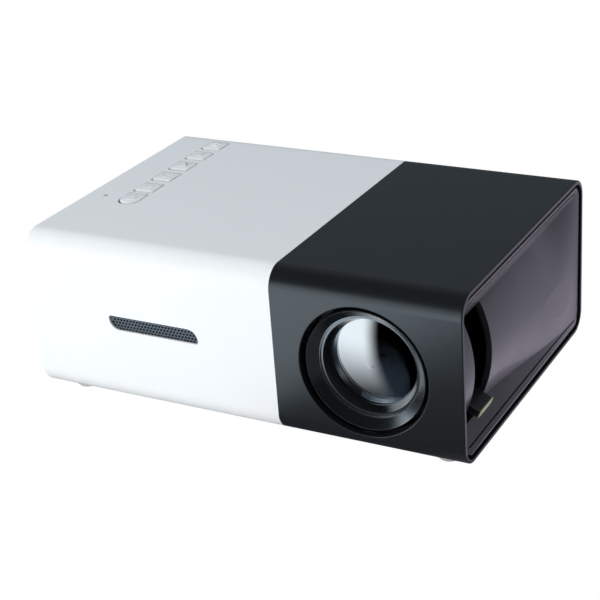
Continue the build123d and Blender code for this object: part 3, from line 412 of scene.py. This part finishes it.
def clear(name, color, **shader):
    """Smooth glass: its colour and roughness are set on the shader itself."""
    material = bpy.data.materials.new(name)
    material.use_nodes = True
    surface = material.node_tree.nodes["Principled BSDF"]
    surface.inputs["Base Color"].default_value = rgba(color)
    surface.inputs["Roughness"].default_value = 0.0
    surface.inputs["Transmission Weight"].default_value = 1.0
    for label, value in shader.items():
        surface.inputs[label.replace("_", " ")].default_value = value
    return material


def dress(material, *nodes):
    """Gives the material to CAD nodes."""
    for name in nodes:
        for slot in NODES[name].material_slots:
            slot.material = material


def new_piece(name, shape, material, body, replaced=()):
    """A finished piece from a bmesh, riding on its body."""
    mesh = bpy.data.meshes.new(name)
    bmesh.ops.remove_doubles(shape, verts=shape.verts, dist=1e-7)
    bmesh.ops.recalc_face_normals(shape, faces=shape.faces)
    shape.to_mesh(mesh)
    shape.free()
    piece = bpy.data.objects.new(name, mesh)
    bpy.context.scene.collection.objects.link(piece)
    mesh.materials.append(material)
    for face in mesh.polygons:
        face.use_smooth = True
    mesh.set_sharp_from_angle(angle=SHARP_ANGLE)
    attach(piece, body)
    if replaced:
        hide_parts(*replaced)
    return piece


# ---- Camera and studio ------------------------------------------------------------------
class PROJECTOR_OT_camera(bpy.types.Operator):
    """Stand the camera at the front right, looking down on the lens"""

    bl_idname = "projector.camera"
    bl_label = "Camera"

    def execute(self, context):
        data = bpy.data.cameras.new("view")
        data.sensor_width = 36.0
        data.lens = CAMERA_LENS
        data.clip_start = 0.01
        data.clip_end = 20.0
        camera = bpy.data.objects.new("view", data)
        context.scene.collection.objects.link(camera)
        azimuth, elevation, roll = (math.radians(part) for part in CAMERA_TURN)
        ahead = Vector((-math.sin(azimuth) * math.cos(elevation),
                        math.cos(azimuth) * math.cos(elevation), -math.sin(elevation)))
        right = ahead.cross(Vector((0, 0, 1))).normalized()
        upward = right.cross(ahead)
        side = math.cos(roll) * right + math.sin(roll) * upward
        top = math.cos(roll) * upward - math.sin(roll) * right
        turn = Matrix((side, top, -ahead)).transposed().to_4x4()
        camera.matrix_world = Matrix.Translation(CAMERA_PLACE) @ turn
        context.scene.camera = camera
        return {"FINISHED"}


def ramp(tree, value, dark, bright, least=0.0, most=1.0):
    """A smooth rise from least where the value is dark to most where it is bright."""
    made = add(tree, "ShaderNodeMapRange", Value=value, From_Min=dark, From_Max=bright,
               To_Min=least, To_Max=most)
    made.interpolation_type = "SMOOTHSTEP"
    return made


def either(tree, mask, plain, special):
    """The special shader where the mask is 1, as on one kind of ray, or else the plain one."""
    made = tree.nodes.new("ShaderNodeMixShader")
    for slot, (node, output) in enumerate((mask, (plain, 0), (special, 0))):
        tree.links.new(node.outputs[output], made.inputs[slot])
    return made


def softbox(name, place, target, size, power, tint):
    """A soft area light aimed at a point."""
    data = bpy.data.lights.new(name, "AREA")
    data.shape = "RECTANGLE"
    data.size, data.size_y = size
    data.energy = power
    data.color = tint
    lamp = bpy.data.objects.new(name, data)
    lamp.location = place
    lamp.visible_glossy = False
    lamp.rotation_euler = (Vector(target) - Vector(place)).to_track_quat("-Z", "Y").to_euler()
    bpy.context.scene.collection.objects.link(lamp)
    return lamp


def build_glass_view():
    """What clear glass sees of the studio in each direction: bright at the front left."""
    group, start, end = new_group(
        "Glass View", (("Vector", "NodeSocketVector", None), ("Strength", "NodeSocketFloat", 1.0)),
        (("Strength", "NodeSocketFloat"),))
    apart = group.nodes.new("ShaderNodeSeparateXYZ")
    group.links.new(start.outputs["Vector"], apart.inputs[0])
    leaning = number(group, "MULTIPLY", (apart, 1), LEFT_LEAN)
    across = number(group, "ADD", (apart, 0), (leaning, 0))
    leftward = ramp(group, (across, 0), *GLASS_LEFT)
    frontward = ramp(group, (apart, 1), *GLASS_FRONT)
    low = ramp(group, (apart, 2), *GLASS_LOW)
    high = ramp(group, (apart, 2), *GLASS_HIGH)
    corner = number(group, "MULTIPLY", (leftward, 0), (frontward, 0))
    band = number(group, "MULTIPLY", (low, 0), (high, 0))
    window = number(group, "MULTIPLY", (corner, 0), (band, 0))
    total = number(group, "MULTIPLY", (window, 0), (start, "Strength"))
    group.links.new(total.outputs[0], end.inputs["Strength"])
    return group


class PROJECTOR_OT_studio(bpy.types.Operator):
    """Lay the pale floor and hang the soft lights"""

    bl_idname = "projector.studio"
    bl_label = "Studio"

    def execute(self, context):
        settings = context.scene.projector_studio
        context.scene.view_settings.view_transform = "Standard"
        self.floor(settings)
        self.sky(context, settings)
        middle = (cad_box[0] + cad_box[1]) / 2
        softbox("front_softbox", (-0.30, -0.62, 0.30), middle, (0.55, 0.45),
                settings.front_power, (1.0, 0.985, 0.97))
        softbox("top_softbox", (-0.05, 0.10, 0.75), middle, (0.8, 0.8),
                settings.top_power, (0.87, 0.95, 1.0))
        softbox("side_softbox", (0.70, 0.10, 0.30), middle, (0.5, 0.4),
                settings.side_power, (1.0, 0.95, 0.98))
        return {"FINISHED"}

    def floor(self, settings):
        """Lays a floor: white to the camera, a shaped glow to gloss, clear from below."""
        shape = bmesh.new()
        bmesh.ops.create_grid(shape, x_segments=1, y_segments=1, size=4.0)
        mesh = bpy.data.meshes.new("floor")
        shape.to_mesh(mesh)
        shape.free()
        floor = bpy.data.objects.new("floor", mesh)
        bpy.context.scene.collection.objects.link(floor)
        material = bpy.data.materials.new("pale_floor")
        material.use_nodes = True
        self.floor_look(material.node_tree, settings)
        mesh.materials.append(material)

    def floor_look(self, tree, settings):
        """Links the floor's shaders: one for each kind of ray, and nothing from below."""
        tree.nodes.clear()
        result = tree.nodes.new("ShaderNodeOutputMaterial")
        seen = add(tree, "ShaderNodeEmission", Color=WHITE_GLOW, Strength=settings.floor)
        where = tree.nodes.new("ShaderNodeTexCoord")
        apart = tree.nodes.new("ShaderNodeSeparateXYZ")
        tree.links.new(where.outputs["Object"], apart.inputs[0])
        lit_front = self.front_glow(tree, apart)
        sideways = self.side_glow(tree, apart)
        lit_right = number(tree, "MULTIPLY", (sideways, 0), settings.right_glow)
        strong = number(tree, "MULTIPLY", (lit_front, 0), settings.left_glow)
        total = number(tree, "ADD", (strong, 0), settings.dim_glow)
        left = add(tree, "ShaderNodeEmission", Color=COOL_GLOW, Strength=(total, 0))
        right = add(tree, "ShaderNodeEmission", Color=WARM_GLOW, Strength=(lit_right, 0))
        felt = tree.nodes.new("ShaderNodeAddShader")
        tree.links.new(left.outputs[0], felt.inputs[0])
        tree.links.new(right.outputs[0], felt.inputs[1])
        dull = add(tree, "ShaderNodeBsdfDiffuse", Color=(0.90, 0.90, 0.90, 1))
        path = tree.nodes.new("ShaderNodeLightPath")
        plane = tree.nodes.new("ShaderNodeNewGeometry")
        going = tree.nodes.new("ShaderNodeVectorMath")
        going.operation = "SCALE"
        going.inputs["Scale"].default_value = -1.0
        tree.links.new(plane.outputs["Incoming"], going.inputs[0])
        view = place_group(tree, "Glass View", Vector=(going, 0), Strength=settings.glass_glow)
        sharp = add(tree, "ShaderNodeEmission", Color=GLASS_GLOW, Strength=(view, 0))
        felt = either(tree, (path, "Is Singular Ray"), felt, sharp)
        unseen = either(tree, (path, "Is Glossy Ray"), dull, felt)
        both = either(tree, (path, "Is Camera Ray"), unseen, seen)
        nothing = tree.nodes.new("ShaderNodeBsdfTransparent")
        one_sided = either(tree, (plane, "Backfacing"), both, nothing)
        tree.links.new(one_sided.outputs[0], result.inputs[0])

    def front_glow(self, tree, apart):
        """Where the floor shines into gloss from the front left, near the case and far off; close
        to the case front the near glow fades to nothing, a painted shadow of the case.
        """
        slant = number(tree, "MULTIPLY_ADD", (apart, 1), FLOOR_SLANT)
        slant.inputs[2].default_value = FLOOR_SHIFT
        across = number(tree, "ADD", (apart, 0), (slant, 0))
        leftward = ramp(tree, (across, 0), *FLOOR_LEFT)
        # The near glow is nothing close to the case front and rises outwards: a painted shadow of
        # the case.
        soft_shade_lift = ramp(tree, (apart, 1), *FLOOR_SOFT_SHADE, most=0.35)
        contact_shade_lift = ramp(tree, (apart, 1), *FLOOR_CONTACT_SHADE, most=0.65)
        near = number(tree, "ADD", (soft_shade_lift, 0), (contact_shade_lift, 0))
        lit_near = number(tree, "MULTIPLY", (leftward, 0), (near, 0))
        far = ramp(tree, (apart, 1), *FLOOR_FAR)
        inward = ramp(tree, (apart, 0), *FLOOR_INWARD)
        lit_far = number(tree, "MULTIPLY", (far, 0), (inward, 0))
        lit_front = number(tree, "ADD", (lit_near, 0), (lit_far, 0))
        lit_front.use_clamp = True
        return lit_front

    def side_glow(self, tree, apart):
        """Where the floor shines into gloss from beside the end panel."""
        rightward = ramp(tree, (apart, 0), *FLOOR_RIGHT)
        beside = ramp(tree, (apart, 1), *FLOOR_BESIDE)
        close = ramp(tree, (apart, 0), *FLOOR_CLOSE, least=1.0, most=1.7)
        nearest = number(tree, "MULTIPLY", (rightward, 0), (close, 0))
        return number(tree, "MULTIPLY", (nearest, 0), (beside, 0))

    def sky(self, context, settings):
        """Sets a world that is white to the camera and a shaped glow to gloss."""
        world = bpy.data.worlds.new("studio_air")
        world.use_nodes = True
        context.scene.world = world
        tree = world.node_tree
        tree.nodes.clear()
        result = tree.nodes.new("ShaderNodeOutputWorld")
        where = tree.nodes.new("ShaderNodeTexCoord")
        apart = tree.nodes.new("ShaderNodeSeparateXYZ")
        tree.links.new(where.outputs["Generated"], apart.inputs[0])
        leaning = number(tree, "MULTIPLY", (apart, 1), LEFT_LEAN)
        across = number(tree, "ADD", (apart, 0), (leaning, 0))
        leftward = ramp(tree, (across, 0), *SKY_LEFT)
        frontward = ramp(tree, (apart, 1), *SKY_FRONT)
        low = ramp(tree, (apart, 2), *SKY_LOW)
        corner = number(tree, "MULTIPLY", (leftward, 0), (frontward, 0))
        band = number(tree, "MULTIPLY", (corner, 0), (low, 0))
        strong = number(tree, "MULTIPLY", (band, 0), settings.left_glow)
        behind = ramp(tree, (apart, 1), *SKY_BACK, least=0.25, most=1.5)
        dim = number(tree, "MULTIPLY", (behind, 0), settings.dim_glow)
        total = number(tree, "ADD", (strong, 0), (dim, 0))
        felt = add(tree, "ShaderNodeBackground", Color=COOL_GLOW, Strength=(total, 0))
        path = tree.nodes.new("ShaderNodeLightPath")
        view = place_group(tree, "Glass View", Vector=(where, "Generated"),
                           Strength=settings.glass_glow)
        sharp = add(tree, "ShaderNodeBackground", Color=GLASS_GLOW, Strength=(view, 0))
        felt = either(tree, (path, "Is Singular Ray"), felt, sharp)
        lit = add(tree, "ShaderNodeBackground", Color=(0.90, 0.95, 1, 1), Strength=settings.air)
        seen = add(tree, "ShaderNodeBackground", Color=WHITE_GLOW, Strength=1.0)
        unseen = either(tree, (path, "Is Glossy Ray"), lit, felt)
        both = either(tree, (path, "Is Camera Ray"), unseen, seen)
        tree.links.new(both.outputs[0], result.inputs[0])


# ---- Case -------------------------------------------------------------------------------
class PROJECTOR_OT_case(bpy.types.Operator):
    """Finish the white and black mouldings of the case"""

    bl_idname = "projector.case"
    bl_label = "Case"

    def execute(self, context):
        case = context.scene.projector_case
        white = finish("white_moulding", case.white, 0.42, tone=0.02, grain=case.grain,
                       grain_depth=case.grain_depth)
        dress(white, "white_upper_shell", "white_base", "left_end_panel")
        # The lighter patches along the shell's edges are a painted highlight.
        black = finish("black_moulding", case.black, 0.29, tone=0.12, grain=case.grain,
                       grain_depth=case.grain_depth, edge_glint=0.10, edge_glint_color=(0.05, 0.055, 0.06))
        dress(black, "black_upper_shell")
        # The base cover's black is darkened to 0.7 of the shell's: painted shade along the bottom
        # band of the case.
        shaded_cover = finish("black_cover_shaded", [part * 0.7 for part in case.black], 0.50, tone=0.12,
                       grain=case.grain, grain_depth=case.grain_depth)
        dress(shaded_cover, "black_base")
        panel = finish("satin_panel", case.panel, 0.34, tone=0.10, gloss=0.05,
                       grain=case.grain * 0.7, grain_depth=case.grain_depth * 0.6,
                       Metallic=0.25, Coat_Weight=0.15)
        dress(panel, "right_side_panel")
        return {"FINISHED"}


class PROJECTOR_OT_grille(bpy.types.Operator):
    """Finish the perforated grille, and the speaker behind it in near black as painted shade in
    the holes
    """

    bl_idname = "projector.grille"
    bl_label = "Grille and speaker"

    def execute(self, context):
        metal = finish("painted_steel_mesh", (0.070, 0.080, 0.092), 0.42, tone=0.15, grain=0.0002,
                       grain_depth=0.000004, Metallic=0.55)
        dress(metal, "front_grille_mesh")
        # The speaker's basket and cone are black parts, made near black (0.004) as painted shade
        # seen through the grille's holes.
        shade_black_basket = finish("speaker_basket_shade", (0.004, 0.004, 0.005), 0.5, grain=0.0004,
                             grain_depth=0.00001)
        dress(shade_black_basket, "speaker_frame")
        shade_black_paper = finish("cone_paper_shade", (0.004, 0.004, 0.004), 0.85, tone=0.3, grain=0.0008,
                       grain_depth=0.00004)
        dress(shade_black_paper, "speaker_cone")
        magnet = finish("zinc_magnet", (0.45, 0.45, 0.46), 0.4, tone=0.2, Metallic=1.0)
        dress(magnet, "speaker_magnet")
        return {"FINISHED"}


# ---- Keys -------------------------------------------------------------------------------
def lay(shape, verts, x, y, z):
    """Moves vertices by an offset."""
    bmesh.ops.translate(shape, verts=verts, vec=(x, y, z))


def slab(shape, x, y, low, high, wide, deep, turn=0.0, soften=0.0):
    """A block with softened upright edges, from low to high."""
    made = bmesh.ops.create_cube(shape, size=1.0)["verts"]
    bmesh.ops.scale(shape, verts=made, vec=(wide, deep, high - low))
    bmesh.ops.rotate(shape, verts=made, cent=(0, 0, 0), matrix=Matrix.Rotation(turn, 3, "Z"))
    lay(shape, made, x, y, (low + high) / 2)
    if soften:
        edges = {edge for vert in made for edge in vert.link_edges
                 if abs(edge.verts[0].co.z - edge.verts[1].co.z) > (high - low) / 2}
        bmesh.ops.bevel(shape, geom=list(edges), offset=soften, affect="EDGES", segments=3,
                        profile=0.5, material=-1)


def arc_bar(shape, x, y, low, high, radius, width, start, sweep):
    """A bar bent round a centre, closed at its ends or run into a ring."""
    corners = [(radius - width / 2, low), (radius + width / 2, low),
               (radius + width / 2, high), (radius - width / 2, high)]
    turn = Matrix.Rotation(start, 3, "Z")
    verts = [shape.verts.new(turn @ Vector((across, 0, z)) + Vector((x, y, 0)))
             for across, z in corners]
    face = shape.faces.new(verts)
    full = abs(sweep) > 2 * math.pi - 1e-4
    steps = max(8, int(abs(sweep) / math.radians(12)))
    bmesh.ops.spin(shape, geom=[face, *face.edges, *verts], cent=(x, y, 0), axis=(0, 0, 1),
                   dvec=(0, 0, 0), angle=sweep, steps=steps, use_merge=full, use_duplicate=False)
    if full:
        bmesh.ops.delete(shape, geom=[face], context="FACES_ONLY")


class PROJECTOR_OT_keys(bpy.types.Operator):
    """Make the pillowed keys with their raised marks"""

    bl_idname = "projector.keys"
    bl_label = "Keys"

    def execute(self, context):
        keys = context.scene.projector_keys
        case = context.scene.projector_case
        white = finish("key_moulding", case.white, 0.34, tone=0.02, grain=case.grain * 0.8,
                       grain_depth=case.grain_depth * 0.5)
        for name in KEYS:
            low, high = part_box(name)
            shape = bmesh.new()
            self.cap(shape, name, low, high, keys)
            self.mark(shape, name, low, high, keys)
            new_piece(name + "_top", shape, white, name + "_cap", (name,))
        board = finish("key_board_green", (0.02, 0.09, 0.04), 0.45, tone=0.2, Coat_Weight=0.4)
        dress(board, "key_board")
        switch = finish("switch_black", (0.02, 0.02, 0.02), 0.5, grain=0.0004, grain_depth=0.00001)
        dress(switch, "key_switches")
        pipe = finish("clear_pipe", (0.60, 0.63, 0.66), 0.20, tone=0.05, Transmission_Weight=0.2,
                      IOR=1.49)
        dress(pipe, "status_light_pipe")
        return {"FINISHED"}

    def cap(self, shape, name, low, high, keys):
        """The pillowed cap, its flange and its stem."""
        wide = high.x - low.x - 2 * keys.flange
        deep = high.y - low.y - 2 * keys.flange
        x, y = (low.x + high.x) / 2, (low.y + high.y) / 2
        rim = high.z - keys.mark_height - keys.crown
        flange_top = high.z - FLANGE_DROP
        made = bmesh.ops.create_cube(shape, size=1.0)["verts"]
        bmesh.ops.scale(shape, verts=made, vec=(wide, deep, rim - flange_top))
        lay(shape, made, x, y, (rim + flange_top) / 2)
        upright = [edge for edge in shape.edges
                   if abs(edge.verts[0].co.z - edge.verts[1].co.z) > SLACK]
        front = [edge for edge in upright if edge.verts[0].co.y < y] if name == "power_key" else []
        back = [edge for edge in upright if edge not in front]
        if front:
            bmesh.ops.bevel(shape, geom=front, offset=wide / 2 - SLACK, affect="EDGES",
                            segments=14, profile=0.5, material=-1)
            back = [edge for edge in shape.edges
                    if abs(edge.verts[0].co.z - edge.verts[1].co.z) > SLACK
                    and edge.verts[0].co.y > y + deep / 2 - SLACK]
        bmesh.ops.bevel(shape, geom=back, offset=CAP_CORNER, affect="EDGES", segments=5,
                        profile=0.5, material=-1)
        top = max(shape.faces, key=lambda face: face.calc_center_median().z)
        middle = Vector((x, y, 0))
        for spread, rise in CAP_RINGS:
            bmesh.ops.inset_region(shape, faces=[top], thickness=0.0, depth=0.0)
            bmesh.ops.scale(shape, verts=top.verts, vec=(spread, spread, 1.0),
                            space=Matrix.Translation(-middle))
            lay(shape, top.verts, 0, 0, keys.crown * rise)
        flange_bottom = flange_top - FLANGE_DEPTH
        slab(shape, x, y, flange_bottom, flange_top, high.x - low.x, high.y - low.y,
             soften=FLANGE_CORNER)
        stem = bmesh.ops.create_cone(shape, cap_ends=True, segments=20, radius1=STEM_RADIUS,
                                     radius2=STEM_RADIUS, depth=flange_bottom - low.z)["verts"]
        lay(shape, stem, x, y, (flange_bottom + low.z) / 2)

    def mark(self, shape, name, low, high, keys):
        """The raised mark of a key."""
        x, y = (low.x + high.x) / 2, (low.y + high.y) / 2
        bottom, top = high.z - keys.mark_height * MARK_SINK, high.z
        stroke = keys.mark_width
        if name == "power_key":
            arc_bar(shape, x, y, bottom, top, POWER_RADIUS, stroke, POWER_START, POWER_SWEEP)
            slab(shape, x, y + POWER_BAR_RISE, bottom, top, stroke, POWER_BAR_LENGTH,
                 soften=stroke / 4)
        elif name == "menu_key":
            for step in (-1, 0, 1):
                slab(shape, x, y + step * MENU_PITCH, bottom, top, MENU_LENGTH, stroke,
                     soften=stroke / 4)
        elif name == "select_key":
            arc_bar(shape, x, y, bottom, top, SELECT_RADIUS, stroke, 0.0, 2 * math.pi)
        elif name == "back_key":
            slab(shape, x + BACK_SHIFT, y, bottom, top, BACK_LENGTH, stroke, soften=stroke / 4)
            for side in (-1, 1):
                slab(shape, x - BACK_TIP_SHIFT, y + side * BACK_TIP_SPREAD, bottom, top,
                     BACK_TIP_LENGTH, stroke, turn=side * BACK_TIP_ANGLE, soften=stroke / 4)
        else:
            point = -1 if name == "left_key" else 1
            for side in (-1, 1):
                slab(shape, x + point * ARROW_SHIFT, y + side * ARROW_SPREAD, bottom, top,
                     ARROW_LENGTH, stroke, turn=-point * side * ARROW_ANGLE, soften=stroke / 4)


# ---- Lens -------------------------------------------------------------------------------
class PROJECTOR_OT_lens(bpy.types.Operator):
    """Finish the lens barrel, its glass and the focus ring"""

    bl_idname = "projector.lens"
    bl_label = "Lens"

    def execute(self, context):
        lens = context.scene.projector_lens
        centre = (LENS_X, 0.0, LENS_Z)
        # The lighter colour along the barrel's edges is a painted highlight, as on the thin ring
        # at its rim.
        barrel = finish("barrel_black", (0.0030, 0.0036, 0.0044), 0.26, tone=0.1, gloss=0.04,
                        rings=lens.groove, ring_depth=lens.groove_depth * 0.15, centre=centre,
                        edge_glint=0.5, edge_glint_color=(0.10, 0.12, 0.13), Coat_Weight=1.0,
                        Coat_Roughness=0.22, Coat_IOR=1.75)
        dress(barrel, "lens_barrel", "lens_retaining_ring")
        inner = finish("matte_baffle", (0.006, 0.006, 0.007), 0.6, rings=lens.groove,
                       ring_depth=lens.groove_depth * 0.05, centre=centre)
        dress(inner, "lens_spacers", "lens_holder", "focus_ring_clip")
        front = clear("coated_glass", lens.glass, IOR=1.5, Specular_IOR_Level=0.2, Coat_Weight=1.0,
                      Coat_Roughness=0.0, Coat_IOR=lens.coat_ior, Coat_Tint=rgba(lens.coating))
        dress(front, "front_lens")
        glass = clear("inner_glass", (0.75, 0.80, 0.82), IOR=1.5, Specular_IOR_Level=0.15)
        dress(glass, "middle_lens", "rear_lens", "condenser_lens", "heat_glass")
        # The pale colour along the focus tab's edges is a painted highlight.
        tab = finish("focus_tab_black", (0.012, 0.013, 0.014), 0.36, tone=0.1, grain=0.0003,
                     grain_depth=0.000006, edge_glint=0.8, edge_glint_color=(0.16, 0.15, 0.18))
        dress(tab, "focus_ring")
        # A pale yellow-green strip on the outer end face of the focus tab.
        end_strip = finish("pale_tab_end", (0.62, 0.66, 0.36), 0.45, tone=0.08, grain=0.0004,
                        grain_depth=0.000005)
        dress(end_strip, "focus_tab_marker")
        steel = finish("ground_steel", (0.55, 0.55, 0.56), 0.28, tone=0.1, Metallic=1.0)
        dress(steel, "guide_pins")
        return {"FINISHED"}


# ---- Inside -----------------------------------------------------------------------------
class PROJECTOR_OT_inside(bpy.types.Operator):
    """Finish the light engine, boards and fan inside the case"""

    bl_idname = "projector.inside"
    bl_label = "Inside"

    def execute(self, context):
        engine = finish("engine_moulding", (0.018, 0.018, 0.019), 0.55, grain=0.0006,
                        grain_depth=0.00002)
        dress(engine, "light_housing", "light_housing_lid", "fan_housing", "fan_rotor")
        sink = finish("extruded_aluminium", (0.72, 0.73, 0.74), 0.35, tone=0.1, Metallic=1.0,
                      grain=0.0005, grain_depth=0.00001)
        dress(sink, "heat_sink")
        board = finish("solder_mask_green", (0.02, 0.10, 0.045), 0.40, tone=0.25, Coat_Weight=0.4)
        dress(board, "main_board", "led_board")
        parts = finish("component_grey", (0.05, 0.05, 0.055), 0.45, tone=0.3)
        dress(parts, "board_components")
        screws = finish("zinc_screws", (0.60, 0.60, 0.62), 0.30, tone=0.1, Metallic=1.0)
        dress(screws, "board_screws")
        led = finish("phosphor_yellow", (0.80, 0.66, 0.15), 0.4, tone=0.1)
        dress(led, "led_chip")
        mirror = finish("front_silver", (0.92, 0.93, 0.94), 0.03, tone=0.01, gloss=0.01,
                        Metallic=1.0)
        dress(mirror, "fold_mirror")
        display = finish("display_glass", (0.03, 0.03, 0.05), 0.08, tone=0.05, Coat_Weight=1.0)
        dress(display, "display_panel")
        sheet = finish("field_sheet", (0.95, 0.96, 0.97), 0.10, tone=0.01, gloss=0.02,
                       Transmission_Weight=0.9, IOR=1.49)
        dress(sheet, "rear_field_lens", "front_field_lens")
        ribbon = finish("polyimide_ribbon", (0.60, 0.30, 0.06), 0.35, tone=0.15)
        dress(ribbon, "display_ribbon")
        return {"FINISHED"}


class PROJECTOR_OT_sockets(bpy.types.Operator):
    """Finish the sockets and the receiver window on the back"""

    bl_idname = "projector.sockets"
    bl_label = "Sockets"

    def execute(self, context):
        shell = finish("plated_steel", (0.70, 0.70, 0.69), 0.26, tone=0.1, gloss=0.08,
                       Metallic=1.0)
        dress(shell, "hdmi_socket", "usb_socket", "card_socket")
        plastic = finish("socket_black", (0.014, 0.014, 0.015), 0.40, tone=0.15, grain=0.0004,
                         grain_depth=0.000008)
        dress(plastic, "headphone_jack", "av_jack", "power_inlet")
        window = finish("receiver_red", (0.06, 0.004, 0.006), 0.08, tone=0.05, Coat_Weight=0.8)
        dress(window, "receiver_window")
        receiver = finish("receiver_black", (0.02, 0.015, 0.02), 0.2, tone=0.1)
        dress(receiver, "remote_receiver")
        return {"FINISHED"}


class PROJECTOR_OT_underside(bpy.types.Operator):
    """Finish the soft feet, the screws and the tripod nut"""

    bl_idname = "projector.underside"
    bl_label = "Underside"

    def execute(self, context):
        rubber = finish("clear_rubber", (0.80, 0.83, 0.84), 0.30, tone=0.04, grain=0.0005,
                        grain_depth=0.000006, Transmission_Weight=0.35, IOR=1.41)
        dress(rubber, "feet")
        screws = finish("black_screws", (0.05, 0.05, 0.052), 0.35, tone=0.1, Metallic=0.9)
        dress(screws, "base_screws")
        brass = finish("turned_brass", (0.75, 0.55, 0.24), 0.28, tone=0.1, Metallic=1.0)
        dress(brass, "tripod_nut")
        return {"FINISHED"}


class PROJECTOR_PT_panel(bpy.types.Panel):
    """Lists the projector's pieces in the sidebar"""

    bl_idname = "PROJECTOR_PT_panel"
    bl_label = "Projector"
    bl_space_type = "VIEW_3D"
    bl_region_type = "UI"
    bl_category = "Projector"

    def draw(self, context):
        for operator in OPERATORS:
            self.layout.operator(operator.bl_idname)
        for settings in SETTINGS:
            box = self.layout.box()
            group = getattr(context.scene, settings)
            for name in SETTINGS[settings].__annotations__:
                box.prop(group, name)


OPERATORS = (PROJECTOR_OT_camera, PROJECTOR_OT_studio, PROJECTOR_OT_case, PROJECTOR_OT_grille,
             PROJECTOR_OT_keys, PROJECTOR_OT_lens, PROJECTOR_OT_inside, PROJECTOR_OT_sockets,
             PROJECTOR_OT_underside)
SETTINGS = {"projector_case": CaseSettings, "projector_keys": KeySettings,
            "projector_lens": LensSettings, "projector_studio": StudioSettings}
CLASSES = (*SETTINGS.values(), *OPERATORS, PROJECTOR_PT_panel)


def register():
    for made in CLASSES:
        bpy.utils.register_class(made)
    for name, made in SETTINGS.items():
        setattr(bpy.types.Scene, name, PointerProperty(type=made))


def unregister():
    for name in SETTINGS:
        delattr(bpy.types.Scene, name)
    for made in reversed(CLASSES):
        bpy.utils.unregister_class(made)


def main():
    """Builds every piece in order."""
    register()
    for operator in OPERATORS:
        call = getattr(bpy.ops.projector, operator.bl_idname.split(".")[1])
        if call() != {"FINISHED"}:
            raise RuntimeError(operator.bl_label + " wasn't finished")


if __name__ == "__main__":
    main()
